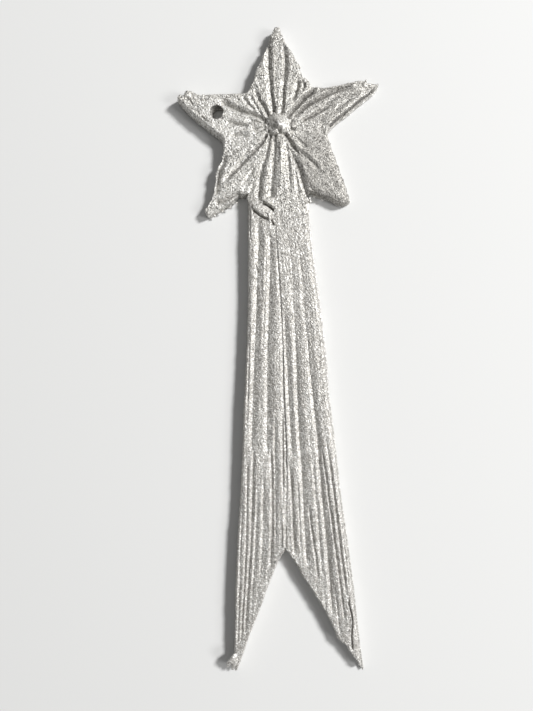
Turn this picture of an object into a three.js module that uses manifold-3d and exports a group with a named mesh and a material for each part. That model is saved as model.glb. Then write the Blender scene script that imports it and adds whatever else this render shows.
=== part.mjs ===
// Paper comet ornament: a five-rayed star with a swallow-tailed streamer, built up from card and
// moulded paper pulp and painted silver.
// Millimetres. The back lies on z = 0 and +Z comes out of the front. +Y points to the top ray and
// +X to the right. The origin is the star's centre on the back face.
import * as THREE from "three";
import { mergeVertices } from "three/addons/utils/BufferGeometryUtils.js";
import Module from "manifold-3d";

const wasm = await Module();
wasm.setup();

// Layers and clearances
const CARD_THICKNESS = 0.8;
const CLEARANCE = 0.3;
const FLANGE = 0.3; // card that shows outside the foot of the relief
const DRAFT = 0.3; // how far a relief wall leans in on its way up
const EDGE_ROUNDING = 0.35; // drop of the relief surface at its outer edge

// Star: rays and the valleys that follow them, anticlockwise from the top ray
const RAYS = [
  { angle: 90, reach: 23.1, tipWidth: 1.4, valleyAngle: 131.2, valleyRadius: 10.6 },
  { angle: 165.4, reach: 23.5, tipWidth: 2.4, valleyAngle: 197.6, valleyRadius: 13.2 },
  { angle: 231.7, reach: 26.1, tipWidth: 1.9, valleyAngle: 271, valleyRadius: 14 },
  { angle: 311, reach: 24, tipWidth: 2.4, valleyAngle: 352.2, valleyRadius: 11.8 },
  { angle: 382.1, reach: 25, tipWidth: 1.6, valleyAngle: 408.7, valleyRadius: 12.1 },
];
const STAR_ROOT_HEIGHT = 2.6; // relief above the card beside the boss
const STAR_TIP_HEIGHT = 1.5; // relief above the card at the longest ray's tip
const SEAT_RADIUS = 3.1;
const SEAT_HEIGHT = 2.4; // flat seat of the boss above the card
const STAR_STEP = 4; // widest angle between two columns of the star's surface, degrees
const STAR_RINGS = [0.08, 0.2, 0.36, 0.54, 0.72, 0.87, 0.96, 1];

// Radial folds of the star: angle at the rim, angle at the boss and lift of the fold line.
// A fold with a positive lift is a crest, and one with a negative lift is a groove.
const FOLDS = [
  { rim: 80, root: 68, lift: 0.3 },
  { rim: 87, root: 75, lift: -0.4 },
  { rim: 91, root: 88, lift: 0.3 },
  { rim: 95.6, root: 98, lift: -0.4 },
  { rim: 108, root: 109, lift: 0.3 },
  { rim: 117, root: 120, lift: -0.45 },
  { rim: 124, root: 130, lift: 0.25 },
  { rim: 131, root: 138, lift: -0.3 },
  { rim: 147, root: 143, lift: 0.25 },
  { rim: 157, root: 148, lift: -0.45 },
  { rim: 164, root: 162, lift: 0.2 },
  { rim: 171, root: 172, lift: -0.3 },
  { rim: 182, root: 184, lift: 0.25 },
  { rim: 191, root: 193, lift: -0.15 },
  { rim: 201, root: 203, lift: 0.25 },
  { rim: 214, root: 214, lift: 0.3 },
  { rim: 227, root: 225, lift: -0.6 },
  { rim: 238, root: 236, lift: 0.25 },
  { rim: 300, root: 300, lift: 0.15 },
  { rim: 316, root: 314, lift: 0.3 },
  { rim: 323, root: 322, lift: -0.3 },
  { rim: 340, root: 340, lift: 0.3 },
  { rim: 366, root: 352, lift: -0.2 },
  { rim: 375, root: 370, lift: 0.3 },
  { rim: 380, root: 376, lift: -0.3 },
  { rim: 385, root: 382, lift: 0.2 },
  { rim: 389, root: 388, lift: -0.3 },
  { rim: 394, root: 393, lift: 0.3 },
  { rim: 401, root: 398, lift: -0.5 },
  { rim: 414, root: 409, lift: 0.35 },
  { rim: 424, root: 417, lift: -0.4 },
];

// Hanging hole through the left ray
const HOLE_DIAMETER = 3.3;
const HOLE_CENTRE = new THREE.Vector2(-14.1, 3.1);
const HOLE_SIDES = 32;

// Neck: the fan of pleats between the boss and the streamers
const NECK_TOP = -3.5;
const NECK_FOOT = -16.6; // where the fan leaves the star
const NECK_SIDES = [
  { y: NECK_TOP, left: -1.9, right: 2.0 },
  { y: -7.7, left: -4.1, right: 3.4 },
  { y: NECK_FOOT, left: -7.0, right: 7.3 },
  { y: NECK_FOOT - 4.9, left: -6.9, right: 7.7 },
];
// Torn lower edge of the fan: share of its width and distance below the neck's foot
const NECK_LIP = [
  { s: 0, below: 0.6 },
  { s: 0.28, below: 0.7 },
  { s: 0.46, below: 2.1 },
  { s: 0.56, below: 3.6 },
  { s: 1, below: 4.2 },
];
const NECK_PLEATS = [
  { s: 0, height: 1.9 },
  { s: 0.13, height: 2.5 },
  { s: 0.25, height: 1.7 },
  { s: 0.34, height: 2.5 },
  { s: 0.42, height: 1.7 },
  { s: 0.53, height: 2.5 },
  { s: 0.66, height: 1.8 },
  { s: 0.76, height: 2.3 },
  { s: 0.84, height: 1.9 },
  { s: 0.93, height: 2.4 },
  { s: 1, height: 1.9 },
];
const NECK_ROWS = 12;
const PLEAT_COLUMNS = 24;
const LAP_LENGTH = 3.2; // of the streamers' tongues, up under the fan from the neck's foot
const LAP_THICKNESS = 0.9;

// Streamers: outer edges and seam at shares of the way down from the neck's foot to the tips
const TIP_Y = -126.6;
const NOTCH_DEPTH = 27.6;
const NOTCH_X = 2;
const TAIL_EDGES = [
  { down: 0, left: -7.0, right: 7.3 },
  { down: 0.222, left: -6.8, right: 10.1 },
  { down: 0.422, left: -7.6, right: 12.3 },
  { down: 0.713, left: -9.1, right: 16.1 },
  { down: 1, left: -10.2, right: 20.1 },
];
const SEAM = [
  { down: 0, x: 0.2 },
  { down: 0.081, x: -0.2 },
  { down: 0.222, x: 0.9 },
  { down: 0.408, x: 1.5 },
  { down: 0.54, x: NOTCH_X + 0.2 },
  { down: 0.75, x: NOTCH_X },
];
// Edges of the notch: bends at shares of the way from its apex to a tip, and the tips' width
const LEFT_BENDS = [{ share: 0.594, bow: -0.25 }];
const RIGHT_BENDS = [
  { share: 0.467, bow: 0.1 },
  { share: 0.725, bow: -0.9 },
];
const LEFT_TIP_WIDTH = 1;
const RIGHT_TIP_WIDTH = 0.5;
// Crack in the right streamer: height above the tip and distance in from the outer edge
const CRACK = [
  { above: 17.8, inset: 1.2 },
  { above: 15.4, inset: 1.6 },
  { above: 13.3, inset: 1.2 },
  { above: 11.5, inset: 1.05 },
  { above: 7.5, inset: 1.75 },
  { above: 4.7, inset: 1.9 },
];
const CRACK_WIDTH = 0.35;
const CRACK_FLOOR = 0.6;
// Flutes: position of each fold line as a share of the tail's width, at four shares of the way down
const FLUTE_LEVELS = [0.076, 0.276, 0.504, 0.731];
const STREAMER_EDGE_HEIGHT = 1.4; // above the card
const CREST_HEIGHT = 2.2;
const TROUGH_HEIGHT = 1.6;
const LEFT_FLUTES = [
  { shares: [0.1, 0.055, 0.05, 0.04], height: CREST_HEIGHT },
  { shares: [0.19, 0.14, 0.11, 0.09], height: TROUGH_HEIGHT },
  { shares: [0.27, 0.21, 0.21, 0.25], height: CREST_HEIGHT },
  { shares: [0.34, 0.3, 0.29, 0.3], height: TROUGH_HEIGHT },
  { shares: [0.4, 0.39, 0.38, 0.37], height: CREST_HEIGHT },
];
const RIGHT_FLUTES = [
  { shares: [0.48, 0.49, 0.5, 0.46], height: CREST_HEIGHT },
  { shares: [0.54, 0.53, 0.54, 0.52], height: TROUGH_HEIGHT },
  { shares: [0.6, 0.58, 0.57, 0.58], height: CREST_HEIGHT },
  { shares: [0.68, 0.65, 0.64, 0.65], height: TROUGH_HEIGHT },
  { shares: [0.75, 0.73, 0.76, 0.77], height: CREST_HEIGHT },
  { shares: [0.84, 0.81, 0.82, 0.83], height: TROUGH_HEIGHT },
  { shares: [0.92, 0.92, 0.94, 0.94], height: CREST_HEIGHT },
];
const STREAMER_ROWS = 26;
const SMOOTH_STEPS = 2; // columns from one fold line to the next

// Tongue of the tail card, let into a slot in the star card
const TONGUE_TOP = -6.5;
const TONGUE_WIDTH = 7;
const SHOULDER_RISE = 1.6; // of the tail card's shoulders above the neck's foot

// Boss at the star's centre: two lobes pressed together
const BOSS_RADIUS = 2.7;
const BOSS_RIM = 0.3; // height of the boss at its outer edge
const BOSS_LOBES = [
  { x: -0.8, y: 0.5, height: 1, spread: 1.7 },
  { x: 1, y: 0.2, height: 1.1, spread: 1.1 },
  { x: 0.5, y: -1, height: -0.7, spread: 0.6 },
];
const BOSS_SIDES = 28;
const BOSS_RINGS = [0.18, 0.36, 0.54, 0.72, 0.88, 0.96];

// Curled flake of pulp under the fan's torn lip
const CURL_PATH = [
  { x: -5.9, below: 1.7, radius: 0.35 },
  { x: -4.6, below: 2.5, radius: 0.8 },
  { x: -3, below: 3.2, radius: 0.85 },
  { x: -1.7, below: 4, radius: 0.6 },
  { x: -0.9, below: 5, radius: 0.3 },
];
const CURL_SIDES = 10;

// Shreds of pulp at the left streamer's frayed tip, measured from the corner of the tip
const SHRED_ROOT = { x: 0.5, y: 3.4 };
const SHRED_TIPS = [
  { x: -1.1, y: 0.8 },
  { x: -0.3, y: -0.2 },
  { x: 0.3, y: -0.7 },
];
const SHRED_WIDTH = 0.7;
const SHRED_TAPER = 0.3; // width at a shred's end as a share of its width at the root
const SHRED_HEIGHT = 0.9;

const RELIEF_FLOOR = CARD_THICKNESS;
const LAP_TOP = NECK_FOOT + LAP_LENGTH;
const SHOULDER_Y = NECK_FOOT + SHOULDER_RISE;
const LONGEST_REACH = Math.max(...RAYS.map((ray) => ray.reach));
const PAST = LONGEST_REACH; // cutters reach this far past the part
const RADIANS = Math.PI / 180;

const silver = new THREE.MeshStandardMaterial({ color: 0xb9bab8, roughness: 0.5, metalness: 0.6 });
const card = new THREE.MeshStandardMaterial({ color: 0xa3a4a2, roughness: 0.7, metalness: 0.4 });

// Solids and meshes

function solidOf(geometry) {
  const bare = geometry.index ? geometry.toNonIndexed() : geometry.clone();
  bare.deleteAttribute("normal");
  bare.deleteAttribute("uv");
  const merged = mergeVertices(bare, 1e-4);
  return new wasm.Manifold(
    new wasm.Mesh({
      numProp: 3,
      vertProperties: new Float32Array(merged.attributes.position.array),
      triVerts: new Uint32Array(merged.index.array),
    }),
  );
}

function meshOf(solid, name, material) {
  const { vertProperties, triVerts } = solid.getMesh();
  const geometry = new THREE.BufferGeometry();
  geometry.setAttribute("position", new THREE.BufferAttribute(vertProperties, 3));
  geometry.setIndex(new THREE.BufferAttribute(triVerts, 1));
  geometry.computeVertexNormals();
  const mesh = new THREE.Mesh(geometry, material.clone());
  mesh.name = name;
  return mesh;
}

function prism(outline, bottom, top) {
  const geometry = new THREE.ExtrudeGeometry(new THREE.Shape(outline), {
    depth: top - bottom,
    bevelEnabled: false,
  });
  geometry.translate(0, 0, bottom);
  return solidOf(geometry);
}

function roundBar(centre, diameter) {
  const geometry = new THREE.CylinderGeometry(diameter / 2, diameter / 2, PAST, HOLE_SIDES);
  geometry.rotateX(Math.PI / 2);
  geometry.translate(centre.x, centre.y, 0);
  return solidOf(geometry);
}

// Walls from an anticlockwise rim down to a flat foot, and the floor inside the foot.
function closedSolid(points, faces, rim, foot, floor) {
  const start = points.length;
  const triangles = [...faces];
  rim.forEach((here, k) => {
    const after = (k + 1) % rim.length;
    triangles.push([start + k, start + after, rim[after]], [start + k, rim[after], here]);
  });
  for (const [a, b, c] of floor) triangles.push([start + a, start + c, start + b]);
  const geometry = new THREE.BufferGeometry().setFromPoints([...points, ...foot]);
  geometry.setIndex(triangles.flat());
  return solidOf(geometry);
}

// Triangles between two rows of indices that run the same way.
function band(upper, lower) {
  const faces = [];
  let i = 0;
  let j = 0;
  while (i < upper.length - 1 || j < lower.length - 1) {
    const upperNext = (i + 1) / (upper.length - 1);
    const lowerNext = (j + 1) / (lower.length - 1);
    if (upperNext <= lowerNext) {
      faces.push([upper[i], lower[j], upper[i + 1]]);
      i += 1;
    } else {
      faces.push([upper[i], lower[j], lower[j + 1]]);
      j += 1;
    }
  }
  return faces;
}

// A solid under an open grid of points, rows from top to bottom and columns from left to right.
function solidUnderGrid(grid, footOf) {
  const last = { row: grid.length - 1, column: grid[0].length - 1 };
  const at = (i, j) => i * grid[0].length + j;
  const indexRow = (i) => grid[i].map((_, j) => at(i, j));
  const faces = grid.slice(1).flatMap((_, i) => band(indexRow(i), indexRow(i + 1)));
  const ring = [];
  for (let i = 0; i < last.row; i++) ring.push([i, 0]);
  for (let j = 0; j < last.column; j++) ring.push([last.row, j]);
  for (let i = last.row; i > 0; i--) ring.push([i, last.column]);
  for (let j = last.column; j > 0; j--) ring.push([0, j]);
  const place = new Map(ring.map(([i, j], k) => [at(i, j), k]));
  const footRow = (i) => indexRow(i).map((index) => place.get(index)).filter((k) => k !== undefined);
  const footRows = grid.map((_, i) => footRow(i));
  return closedSolid(
    grid.flat(),
    faces,
    ring.map(([i, j]) => at(i, j)),
    ring.map(([i, j]) => footOf(i, j)),
    footRows.slice(1).flatMap((row, i) => band(footRows[i], row)),
  );
}

// A solid under rings of points round a centre, from the innermost ring outwards.
function solidUnderRings(centre, rings, foot) {
  const count = rings[0].length;
  const at = (i, j) => 1 + i * count + (j % count);
  const faces = [];
  for (let j = 0; j < count; j++) {
    faces.push([0, at(0, j), at(0, j + 1)]);
    for (let i = 0; i < rings.length - 1; i++) {
      faces.push([at(i, j), at(i + 1, j), at(i + 1, j + 1)], [at(i, j), at(i + 1, j + 1), at(i, j + 1)]);
    }
  }
  const rim = rings[0].map((_, j) => at(rings.length - 1, j));
  const footCentre = new THREE.Vector3(centre.x, centre.y, foot[0].z);
  const floor = foot.map((_, j) => [count, j, (j + 1) % count]);
  return closedSolid([centre, ...rings.flat()], faces, rim, [...foot, footCentre], floor);
}

// Numbers along lists

const mix = THREE.MathUtils.lerp;
const polar = (radius, degrees) =>
  new THREE.Vector2(radius * Math.cos(degrees * RADIANS), radius * Math.sin(degrees * RADIANS));

// The value of a field at a position on a list sorted by another field.
function along(list, key, position, field, rounded = false) {
  const rising = list[list.length - 1][key] > list[0][key];
  const past = (entry) => (rising ? entry[key] >= position : entry[key] <= position);
  const after = Math.max(1, list.findIndex(past) < 0 ? list.length - 1 : list.findIndex(past));
  const a = list[after - 1];
  const b = list[after];
  const share = THREE.MathUtils.clamp((position - a[key]) / (b[key] - a[key]), 0, 1);
  return mix(a[field], b[field], rounded ? (1 - Math.cos(Math.PI * share)) / 2 : share);
}

// An anticlockwise outline moved outwards by a distance, with mitred corners.
function moved(outline, distance) {
  return outline.map((p, k) => {
    const before = outline[(k + outline.length - 1) % outline.length];
    const after = outline[(k + 1) % outline.length];
    const a = p.clone().sub(before).normalize();
    const b = after.clone().sub(p).normalize();
    const normalA = new THREE.Vector2(a.y, -a.x);
    const normalB = new THREE.Vector2(b.y, -b.x);
    const bisector = normalA.clone().add(normalB);
    return p.clone().addScaledVector(bisector, distance / (1 + normalA.dot(normalB)));
  });
}

// Star

function starOutline() {
  return RAYS.flatMap((ray) => {
    const tip = polar(ray.reach, ray.angle);
    const across = polar(ray.tipWidth / 2, ray.angle + 90);
    return [tip.clone().sub(across), tip.clone().add(across), polar(ray.valleyRadius, ray.valleyAngle)];
  });
}

const STAR_FOOT = starOutline();
const STAR_TOP = moved(STAR_FOOT, -DRAFT);

const starLevel = (radius) => mix(STAR_ROOT_HEIGHT, STAR_TIP_HEIGHT, radius / LONGEST_REACH);

// The place on the outline in a direction: the side it falls on and its share along that side.
function placeOnOutline(direction) {
  for (let side = 0; side < STAR_FOOT.length; side++) {
    const a = STAR_FOOT[side];
    const b = STAR_FOOT[(side + 1) % STAR_FOOT.length];
    const fromA = direction.cross(a);
    const fromB = direction.cross(b);
    const ahead = direction.dot(a) > 0 || direction.dot(b) > 0;
    if (ahead && fromA <= 1e-9 && fromB > 1e-9) return { side, share: fromA / (fromA - fromB) };
  }
  throw new Error("the star's outline does not go round its centre");
}

function onOutline(outline, { side, share }) {
  return outline[side].clone().lerp(outline[(side + 1) % outline.length], share);
}

function starColumns() {
  const turn = (degrees) => ((degrees % 360) + 360) % 360;
  const corners = STAR_FOOT.map((p) => turn(p.angle() / RADIANS));
  const stops = [...corners, ...FOLDS.map((fold) => turn(fold.rim))].sort((a, b) => a - b);
  const apart = stops.filter((stop, k) => k === 0 || stop - stops[k - 1] > 0.2);
  const angles = [];
  apart.forEach((stop, k) => {
    const next = k + 1 < apart.length ? apart[k + 1] : apart[0] + 360;
    const steps = Math.ceil((next - stop) / STAR_STEP);
    for (let step = 0; step < steps; step++) angles.push(mix(stop, next, step / steps));
  });
  return angles;
}

function starRelief() {
  const first = FOLDS[0];
  const last = FOLDS[FOLDS.length - 1];
  const folds = [
    { rim: last.rim - 360, root: last.root - 360, lift: last.lift },
    ...FOLDS,
    { rim: first.rim + 360, root: first.root + 360, lift: first.lift },
  ];
  const columns = starColumns().map((angle) => {
    const rim = angle < folds[0].rim ? angle + 360 : angle;
    const place = placeOnOutline(polar(1, angle));
    return {
      rim,
      root: along(folds, "rim", rim, "root"),
      lift: along(folds, "rim", rim, "lift", true),
      top: onOutline(STAR_TOP, place),
      foot: onOutline(STAR_FOOT, place),
    };
  });
  const seat = RELIEF_FLOOR + SEAT_HEIGHT;
  const seatRing = columns.map(({ root }) => {
    const p = polar(SEAT_RADIUS, root);
    return new THREE.Vector3(p.x, p.y, seat);
  });
  const rings = STAR_RINGS.map((share) =>
    columns.map(({ rim, root, lift, top }) => {
      const radius = mix(SEAT_RADIUS, top.length(), share);
      const p = share < 1 ? polar(radius, mix(root, rim, Math.sqrt(share))) : top;
      const fade = Math.min(1, 4 * share) * (share > 0.8 ? 1 - 2.5 * (share - 0.8) : 1);
      const drop = share > 0.9 ? EDGE_ROUNDING * (share - 0.9) * 10 : 0;
      return new THREE.Vector3(p.x, p.y, RELIEF_FLOOR + starLevel(radius) + lift * fade - drop);
    }),
  );
  const foot = columns.map((column) => new THREE.Vector3(column.foot.x, column.foot.y, RELIEF_FLOOR));
  return solidUnderRings(new THREE.Vector3(0, 0, seat), [seatRing, ...rings], foot);
}

// Neck

const neckSide = (y, side) => along(NECK_SIDES, "y", y, side);
const lipY = (share) => NECK_FOOT - along(NECK_LIP, "s", share, "below");

function neckOutline() {
  const leftRows = NECK_SIDES.filter((row) => row.y > lipY(0));
  const rightRows = NECK_SIDES.filter((row) => row.y > lipY(1)).reverse();
  const left = leftRows.map((row) => new THREE.Vector2(row.left, row.y));
  const right = rightRows.map((row) => new THREE.Vector2(row.right, row.y));
  const lip = NECK_LIP.map(({ s, below }) => {
    const y = NECK_FOOT - below;
    return new THREE.Vector2(mix(neckSide(y, "left"), neckSide(y, "right"), s), y);
  });
  return [...left, ...lip, ...right];
}

function neckFan() {
  const grid = [];
  for (let i = 0; i <= NECK_ROWS; i++) {
    const down = i / NECK_ROWS;
    const row = [];
    for (let j = 0; j <= PLEAT_COLUMNS; j++) {
      const share = j / PLEAT_COLUMNS;
      const inset = (j === 0 ? DRAFT : 0) - (j === PLEAT_COLUMNS ? DRAFT : 0);
      const y = mix(NECK_TOP, lipY(share), down) - (i === 0 ? DRAFT : 0);
      const x = mix(neckSide(y, "left"), neckSide(y, "right"), share) + inset;
      const pleat = along(NECK_PLEATS, "s", share, "height", true);
      row.push(new THREE.Vector3(x, y, RELIEF_FLOOR + pleat));
    }
    grid.push(row);
  }
  const footOf = (i, j) => {
    const share = j / PLEAT_COLUMNS;
    const y = mix(NECK_TOP, lipY(share), i / NECK_ROWS);
    return new THREE.Vector3(mix(neckSide(y, "left"), neckSide(y, "right"), share), y, RELIEF_FLOOR);
  };
  const fan = solidUnderGrid(grid, footOf);
  const rebateTop = LAP_TOP + CLEARANCE;
  const rebate = prism(
    [
      new THREE.Vector2(-PAST, rebateTop),
      new THREE.Vector2(-PAST, rebateTop - PAST),
      new THREE.Vector2(PAST, rebateTop - PAST),
      new THREE.Vector2(PAST, rebateTop),
    ],
    -PAST,
    RELIEF_FLOOR + LAP_THICKNESS + CLEARANCE,
  );
  return fan.subtract(rebate);
}

// Streamers

const downTail = (y) => (y - NECK_FOOT) / (TIP_Y - NECK_FOOT);
const tailEdge = (y, side) => {
  if (y > NECK_FOOT) {
    const inwards = side === "left" ? CLEARANCE : -CLEARANCE;
    return neckSide(y, side) + inwards;
  }
  return along(TAIL_EDGES, "down", downTail(y), side);
};
const seamX = (y) => along(SEAM, "down", downTail(y), "x");

function fluteX(shares, y) {
  const levels = FLUTE_LEVELS.map((down, k) => ({ down, share: shares[k] }));
  return mix(tailEdge(y, "left"), tailEdge(y, "right"), along(levels, "down", downTail(y), "share"));
}

// Fold lines across one streamer at a height, from its left edge to its right edge.
function streamerLines(flutes, y, isLeft) {
  const seam = seamX(y);
  const left = isLeft ? tailEdge(y, "left") : seam + CLEARANCE / 2;
  const right = isLeft ? seam - CLEARANCE / 2 : tailEdge(y, "right");
  const inside = flutes.map((flute, k) => {
    const share = (k + 1) / (flutes.length + 1);
    const least = mix(left, right, share * 0.2);
    const most = mix(right, left, (1 - share) * 0.2);
    return { x: THREE.MathUtils.clamp(fluteX(flute.shares, y), least, most), z: flute.height };
  });
  return [{ x: left, z: STREAMER_EDGE_HEIGHT }, ...inside, { x: right, z: STREAMER_EDGE_HEIGHT }];
}

function streamerHeights() {
  const heights = [LAP_TOP, NECK_FOOT];
  for (let i = 1; i <= STREAMER_ROWS; i++) heights.push(mix(NECK_FOOT, TIP_Y, i / STREAMER_ROWS));
  return heights;
}

function streamer(flutes, isLeft) {
  const heights = streamerHeights();
  const grid = heights.map((y) => {
    const lines = streamerLines(flutes, y, isLeft);
    const row = [];
    lines.slice(1).forEach((line, k) => {
      for (let step = 0; step < SMOOTH_STEPS; step++) {
        const share = step / SMOOTH_STEPS;
        row.push({ x: mix(lines[k].x, line.x, share), z: mix(lines[k].z, line.z, share) });
      }
    });
    row.push(lines[lines.length - 1]);
    return row.map(({ x, z }, j) => {
      const draft = isLeft && j === 0 ? DRAFT : !isLeft && j === row.length - 1 ? -DRAFT : 0;
      return new THREE.Vector3(x + draft, y, RELIEF_FLOOR + z);
    });
  });
  const footOf = (i, j) => {
    const lines = streamerLines(flutes, heights[i], isLeft);
    const last = grid[i].length - 1;
    const x = j === 0 ? lines[0].x : j === last ? lines[lines.length - 1].x : grid[i][j].x;
    return new THREE.Vector3(x, heights[i], RELIEF_FLOOR);
  };
  const underFan = prism(moved(neckOutline(), CLEARANCE), RELIEF_FLOOR + LAP_THICKNESS, PAST);
  const notch = prism(notchOutline(), -PAST, PAST);
  return solidUnderGrid(grid, footOf).subtract(underFan).subtract(notch);
}

function crack() {
  const points = CRACK.map(({ above, inset }) => {
    const y = TIP_Y + above;
    return new THREE.Vector2(tailEdge(y, "right") - inset, y);
  });
  const half = CRACK_WIDTH / 2;
  const left = points.slice(1).map((p) => new THREE.Vector2(p.x - half, p.y));
  const right = points.slice(1).map((p) => new THREE.Vector2(p.x + half, p.y)).reverse();
  return prism([points[0], ...left, ...right], RELIEF_FLOOR + CRACK_FLOOR, PAST);
}

// The swallowtail notch, anticlockwise, open past the tips.
function notchOutline() {
  const apex = new THREE.Vector2(NOTCH_X, TIP_Y + NOTCH_DEPTH);
  const side = (bends, tip) => {
    const bent = bends.map(({ share, bow }) => {
      const p = apex.clone().lerp(tip, share);
      return new THREE.Vector2(p.x + bow, p.y);
    });
    return [...bent, tip, new THREE.Vector2(tip.x, TIP_Y - PAST)];
  };
  const leftTip = new THREE.Vector2(tailEdge(TIP_Y, "left") + LEFT_TIP_WIDTH, TIP_Y);
  const rightTip = new THREE.Vector2(tailEdge(TIP_Y, "right") - RIGHT_TIP_WIDTH, TIP_Y);
  return [apex, ...side(LEFT_BENDS, leftTip), ...side(RIGHT_BENDS, rightTip).reverse()];
}

function shreds() {
  const corner = new THREE.Vector2(tailEdge(TIP_Y, "left"), TIP_Y);
  const root = corner.clone().add(SHRED_ROOT);
  const pieces = SHRED_TIPS.map((offset) => {
    const tip = corner.clone().add(offset);
    const outwards = tip.clone().sub(root).normalize();
    const across = new THREE.Vector2(-outwards.y, outwards.x).multiplyScalar(SHRED_WIDTH / 2);
    const outline = [
      root.clone().add(across),
      tip.clone().addScaledVector(across, SHRED_TAPER),
      tip.clone().addScaledVector(across, -SHRED_TAPER),
      root.clone().sub(across),
    ];
    return prism(outline, RELIEF_FLOOR, RELIEF_FLOOR + SHRED_HEIGHT);
  });
  return pieces.reduce((joined, piece) => joined.add(piece));
}

// Cards

function tailCardOutline() {
  const tailY = (row) => mix(NECK_FOOT, TIP_Y, row.down);
  const left = TAIL_EDGES.map((row) => new THREE.Vector2(row.left - FLANGE, tailY(row)));
  const right = TAIL_EDGES.map((row) => new THREE.Vector2(row.right + FLANGE, tailY(row))).reverse();
  const shoulderLeft = neckSide(SHOULDER_Y, "left");
  const shoulderRight = neckSide(SHOULDER_Y, "right");
  const seam = seamX(LAP_TOP);
  return [
    new THREE.Vector2(seam - TONGUE_WIDTH / 2, TONGUE_TOP),
    new THREE.Vector2(seam - TONGUE_WIDTH / 2, SHOULDER_Y),
    new THREE.Vector2(shoulderLeft, SHOULDER_Y),
    ...left,
    ...right,
    new THREE.Vector2(shoulderRight, SHOULDER_Y),
    new THREE.Vector2(seam + TONGUE_WIDTH / 2, SHOULDER_Y),
    new THREE.Vector2(seam + TONGUE_WIDTH / 2, TONGUE_TOP),
  ];
}

function tailCard() {
  const notch = prism(moved(notchOutline(), -FLANGE), -PAST, PAST);
  return prism(tailCardOutline(), 0, CARD_THICKNESS).subtract(notch);
}

function starCard() {
  const slot = prism(moved(tailCardOutline(), CLEARANCE), -PAST, PAST);
  const hole = roundBar(HOLE_CENTRE, HOLE_DIAMETER);
  return prism(moved(STAR_FOOT, FLANGE), 0, CARD_THICKNESS).subtract(slot).subtract(hole);
}

function starReliefCut() {
  const neckRoom = prism(moved(neckOutline(), CLEARANCE), -PAST, PAST);
  const hole = roundBar(HOLE_CENTRE, HOLE_DIAMETER);
  return starRelief().subtract(neckRoom).subtract(hole);
}

// Boss and curl

function boss() {
  const seat = RELIEF_FLOOR + SEAT_HEIGHT;
  const heightAt = (x, y) =>
    BOSS_LOBES.reduce((sum, lobe) => {
      const squared = (x - lobe.x) ** 2 + (y - lobe.y) ** 2;
      return sum + lobe.height * Math.exp(-squared / lobe.spread ** 2);
    }, BOSS_RIM);
  const ringAt = (share, heightOf) =>
    Array.from({ length: BOSS_SIDES }, (_, j) => {
      const p = polar(BOSS_RADIUS * share, (360 * j) / BOSS_SIDES);
      return new THREE.Vector3(p.x, p.y, seat + heightOf(p.x, p.y));
    });
  const rings = BOSS_RINGS.map((share) => ringAt(share, heightAt));
  const foot = ringAt(1, () => 0);
  return solidUnderRings(new THREE.Vector3(0, 0, seat + heightAt(0, 0)), rings, foot);
}

// A round strand along points, each with its own radius, closed by flat ends.
function strand(points, radii, sides) {
  const rings = points.map((centre, i) => {
    const before = points[Math.max(i - 1, 0)];
    const after = points[Math.min(i + 1, points.length - 1)];
    const ahead = after.clone().sub(before).normalize();
    const across = new THREE.Vector3(-ahead.y, ahead.x, 0).normalize();
    const up = ahead.clone().cross(across);
    return Array.from({ length: sides }, (_, j) => {
      const turn = (2 * Math.PI * j) / sides;
      return centre
        .clone()
        .addScaledVector(across, radii[i] * Math.cos(turn))
        .addScaledVector(up, radii[i] * Math.sin(turn));
    });
  });
  const at = (i, j) => i * sides + (j % sides);
  const end = rings.length - 1;
  const faces = [];
  for (let j = 0; j < sides; j++) {
    for (let i = 0; i < end; i++) {
      faces.push([at(i, j), at(i, j + 1), at(i + 1, j + 1)], [at(i, j), at(i + 1, j + 1), at(i + 1, j)]);
    }
  }
  for (let j = 1; j < sides - 1; j++) {
    faces.push([at(0, 0), at(0, j + 1), at(0, j)], [at(end, 0), at(end, j), at(end, j + 1)]);
  }
  const geometry = new THREE.BufferGeometry().setFromPoints(rings.flat());
  geometry.setIndex(faces.flat());
  return solidOf(geometry);
}

function curl() {
  const rest = RELIEF_FLOOR + CREST_HEIGHT + CLEARANCE;
  const radii = CURL_PATH.map(({ radius }) => radius);
  const centreOf = ({ x, below, radius }) => new THREE.Vector3(x, NECK_FOOT - below, rest + radius);
  const centres = CURL_PATH.map(centreOf);
  return strand(centres, radii, CURL_SIDES);
}

const ornament = new THREE.Group();
ornament.add(
  meshOf(starCard(), "star_backing", card),
  meshOf(tailCard(), "tail_backing", card),
  meshOf(starReliefCut(), "star_relief", silver),
  meshOf(neckFan(), "neck_fan", silver),
  meshOf(streamer(LEFT_FLUTES, true).add(shreds()), "left_streamer", silver),
  meshOf(streamer(RIGHT_FLUTES, false).subtract(crack()), "right_streamer", silver),
  meshOf(boss(), "centre_boss", silver),
  meshOf(curl(), "lip_curl", silver),
);

export default ornament;
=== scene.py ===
"""Paper comet ornament: a fluted star with a swallow-tailed streamer.

Paper pulp is moulded in flutes over two layers of card, and all of it is painted silver. Shapes are
worked out in millimetres, and the finished meshes are in metres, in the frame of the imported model:
+Z comes out of the front, +Y points to the top ray, and the back lies on z = 0.
"""

import math

import bpy
import numpy as np
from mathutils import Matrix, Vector, geometry, kdtree


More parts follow.
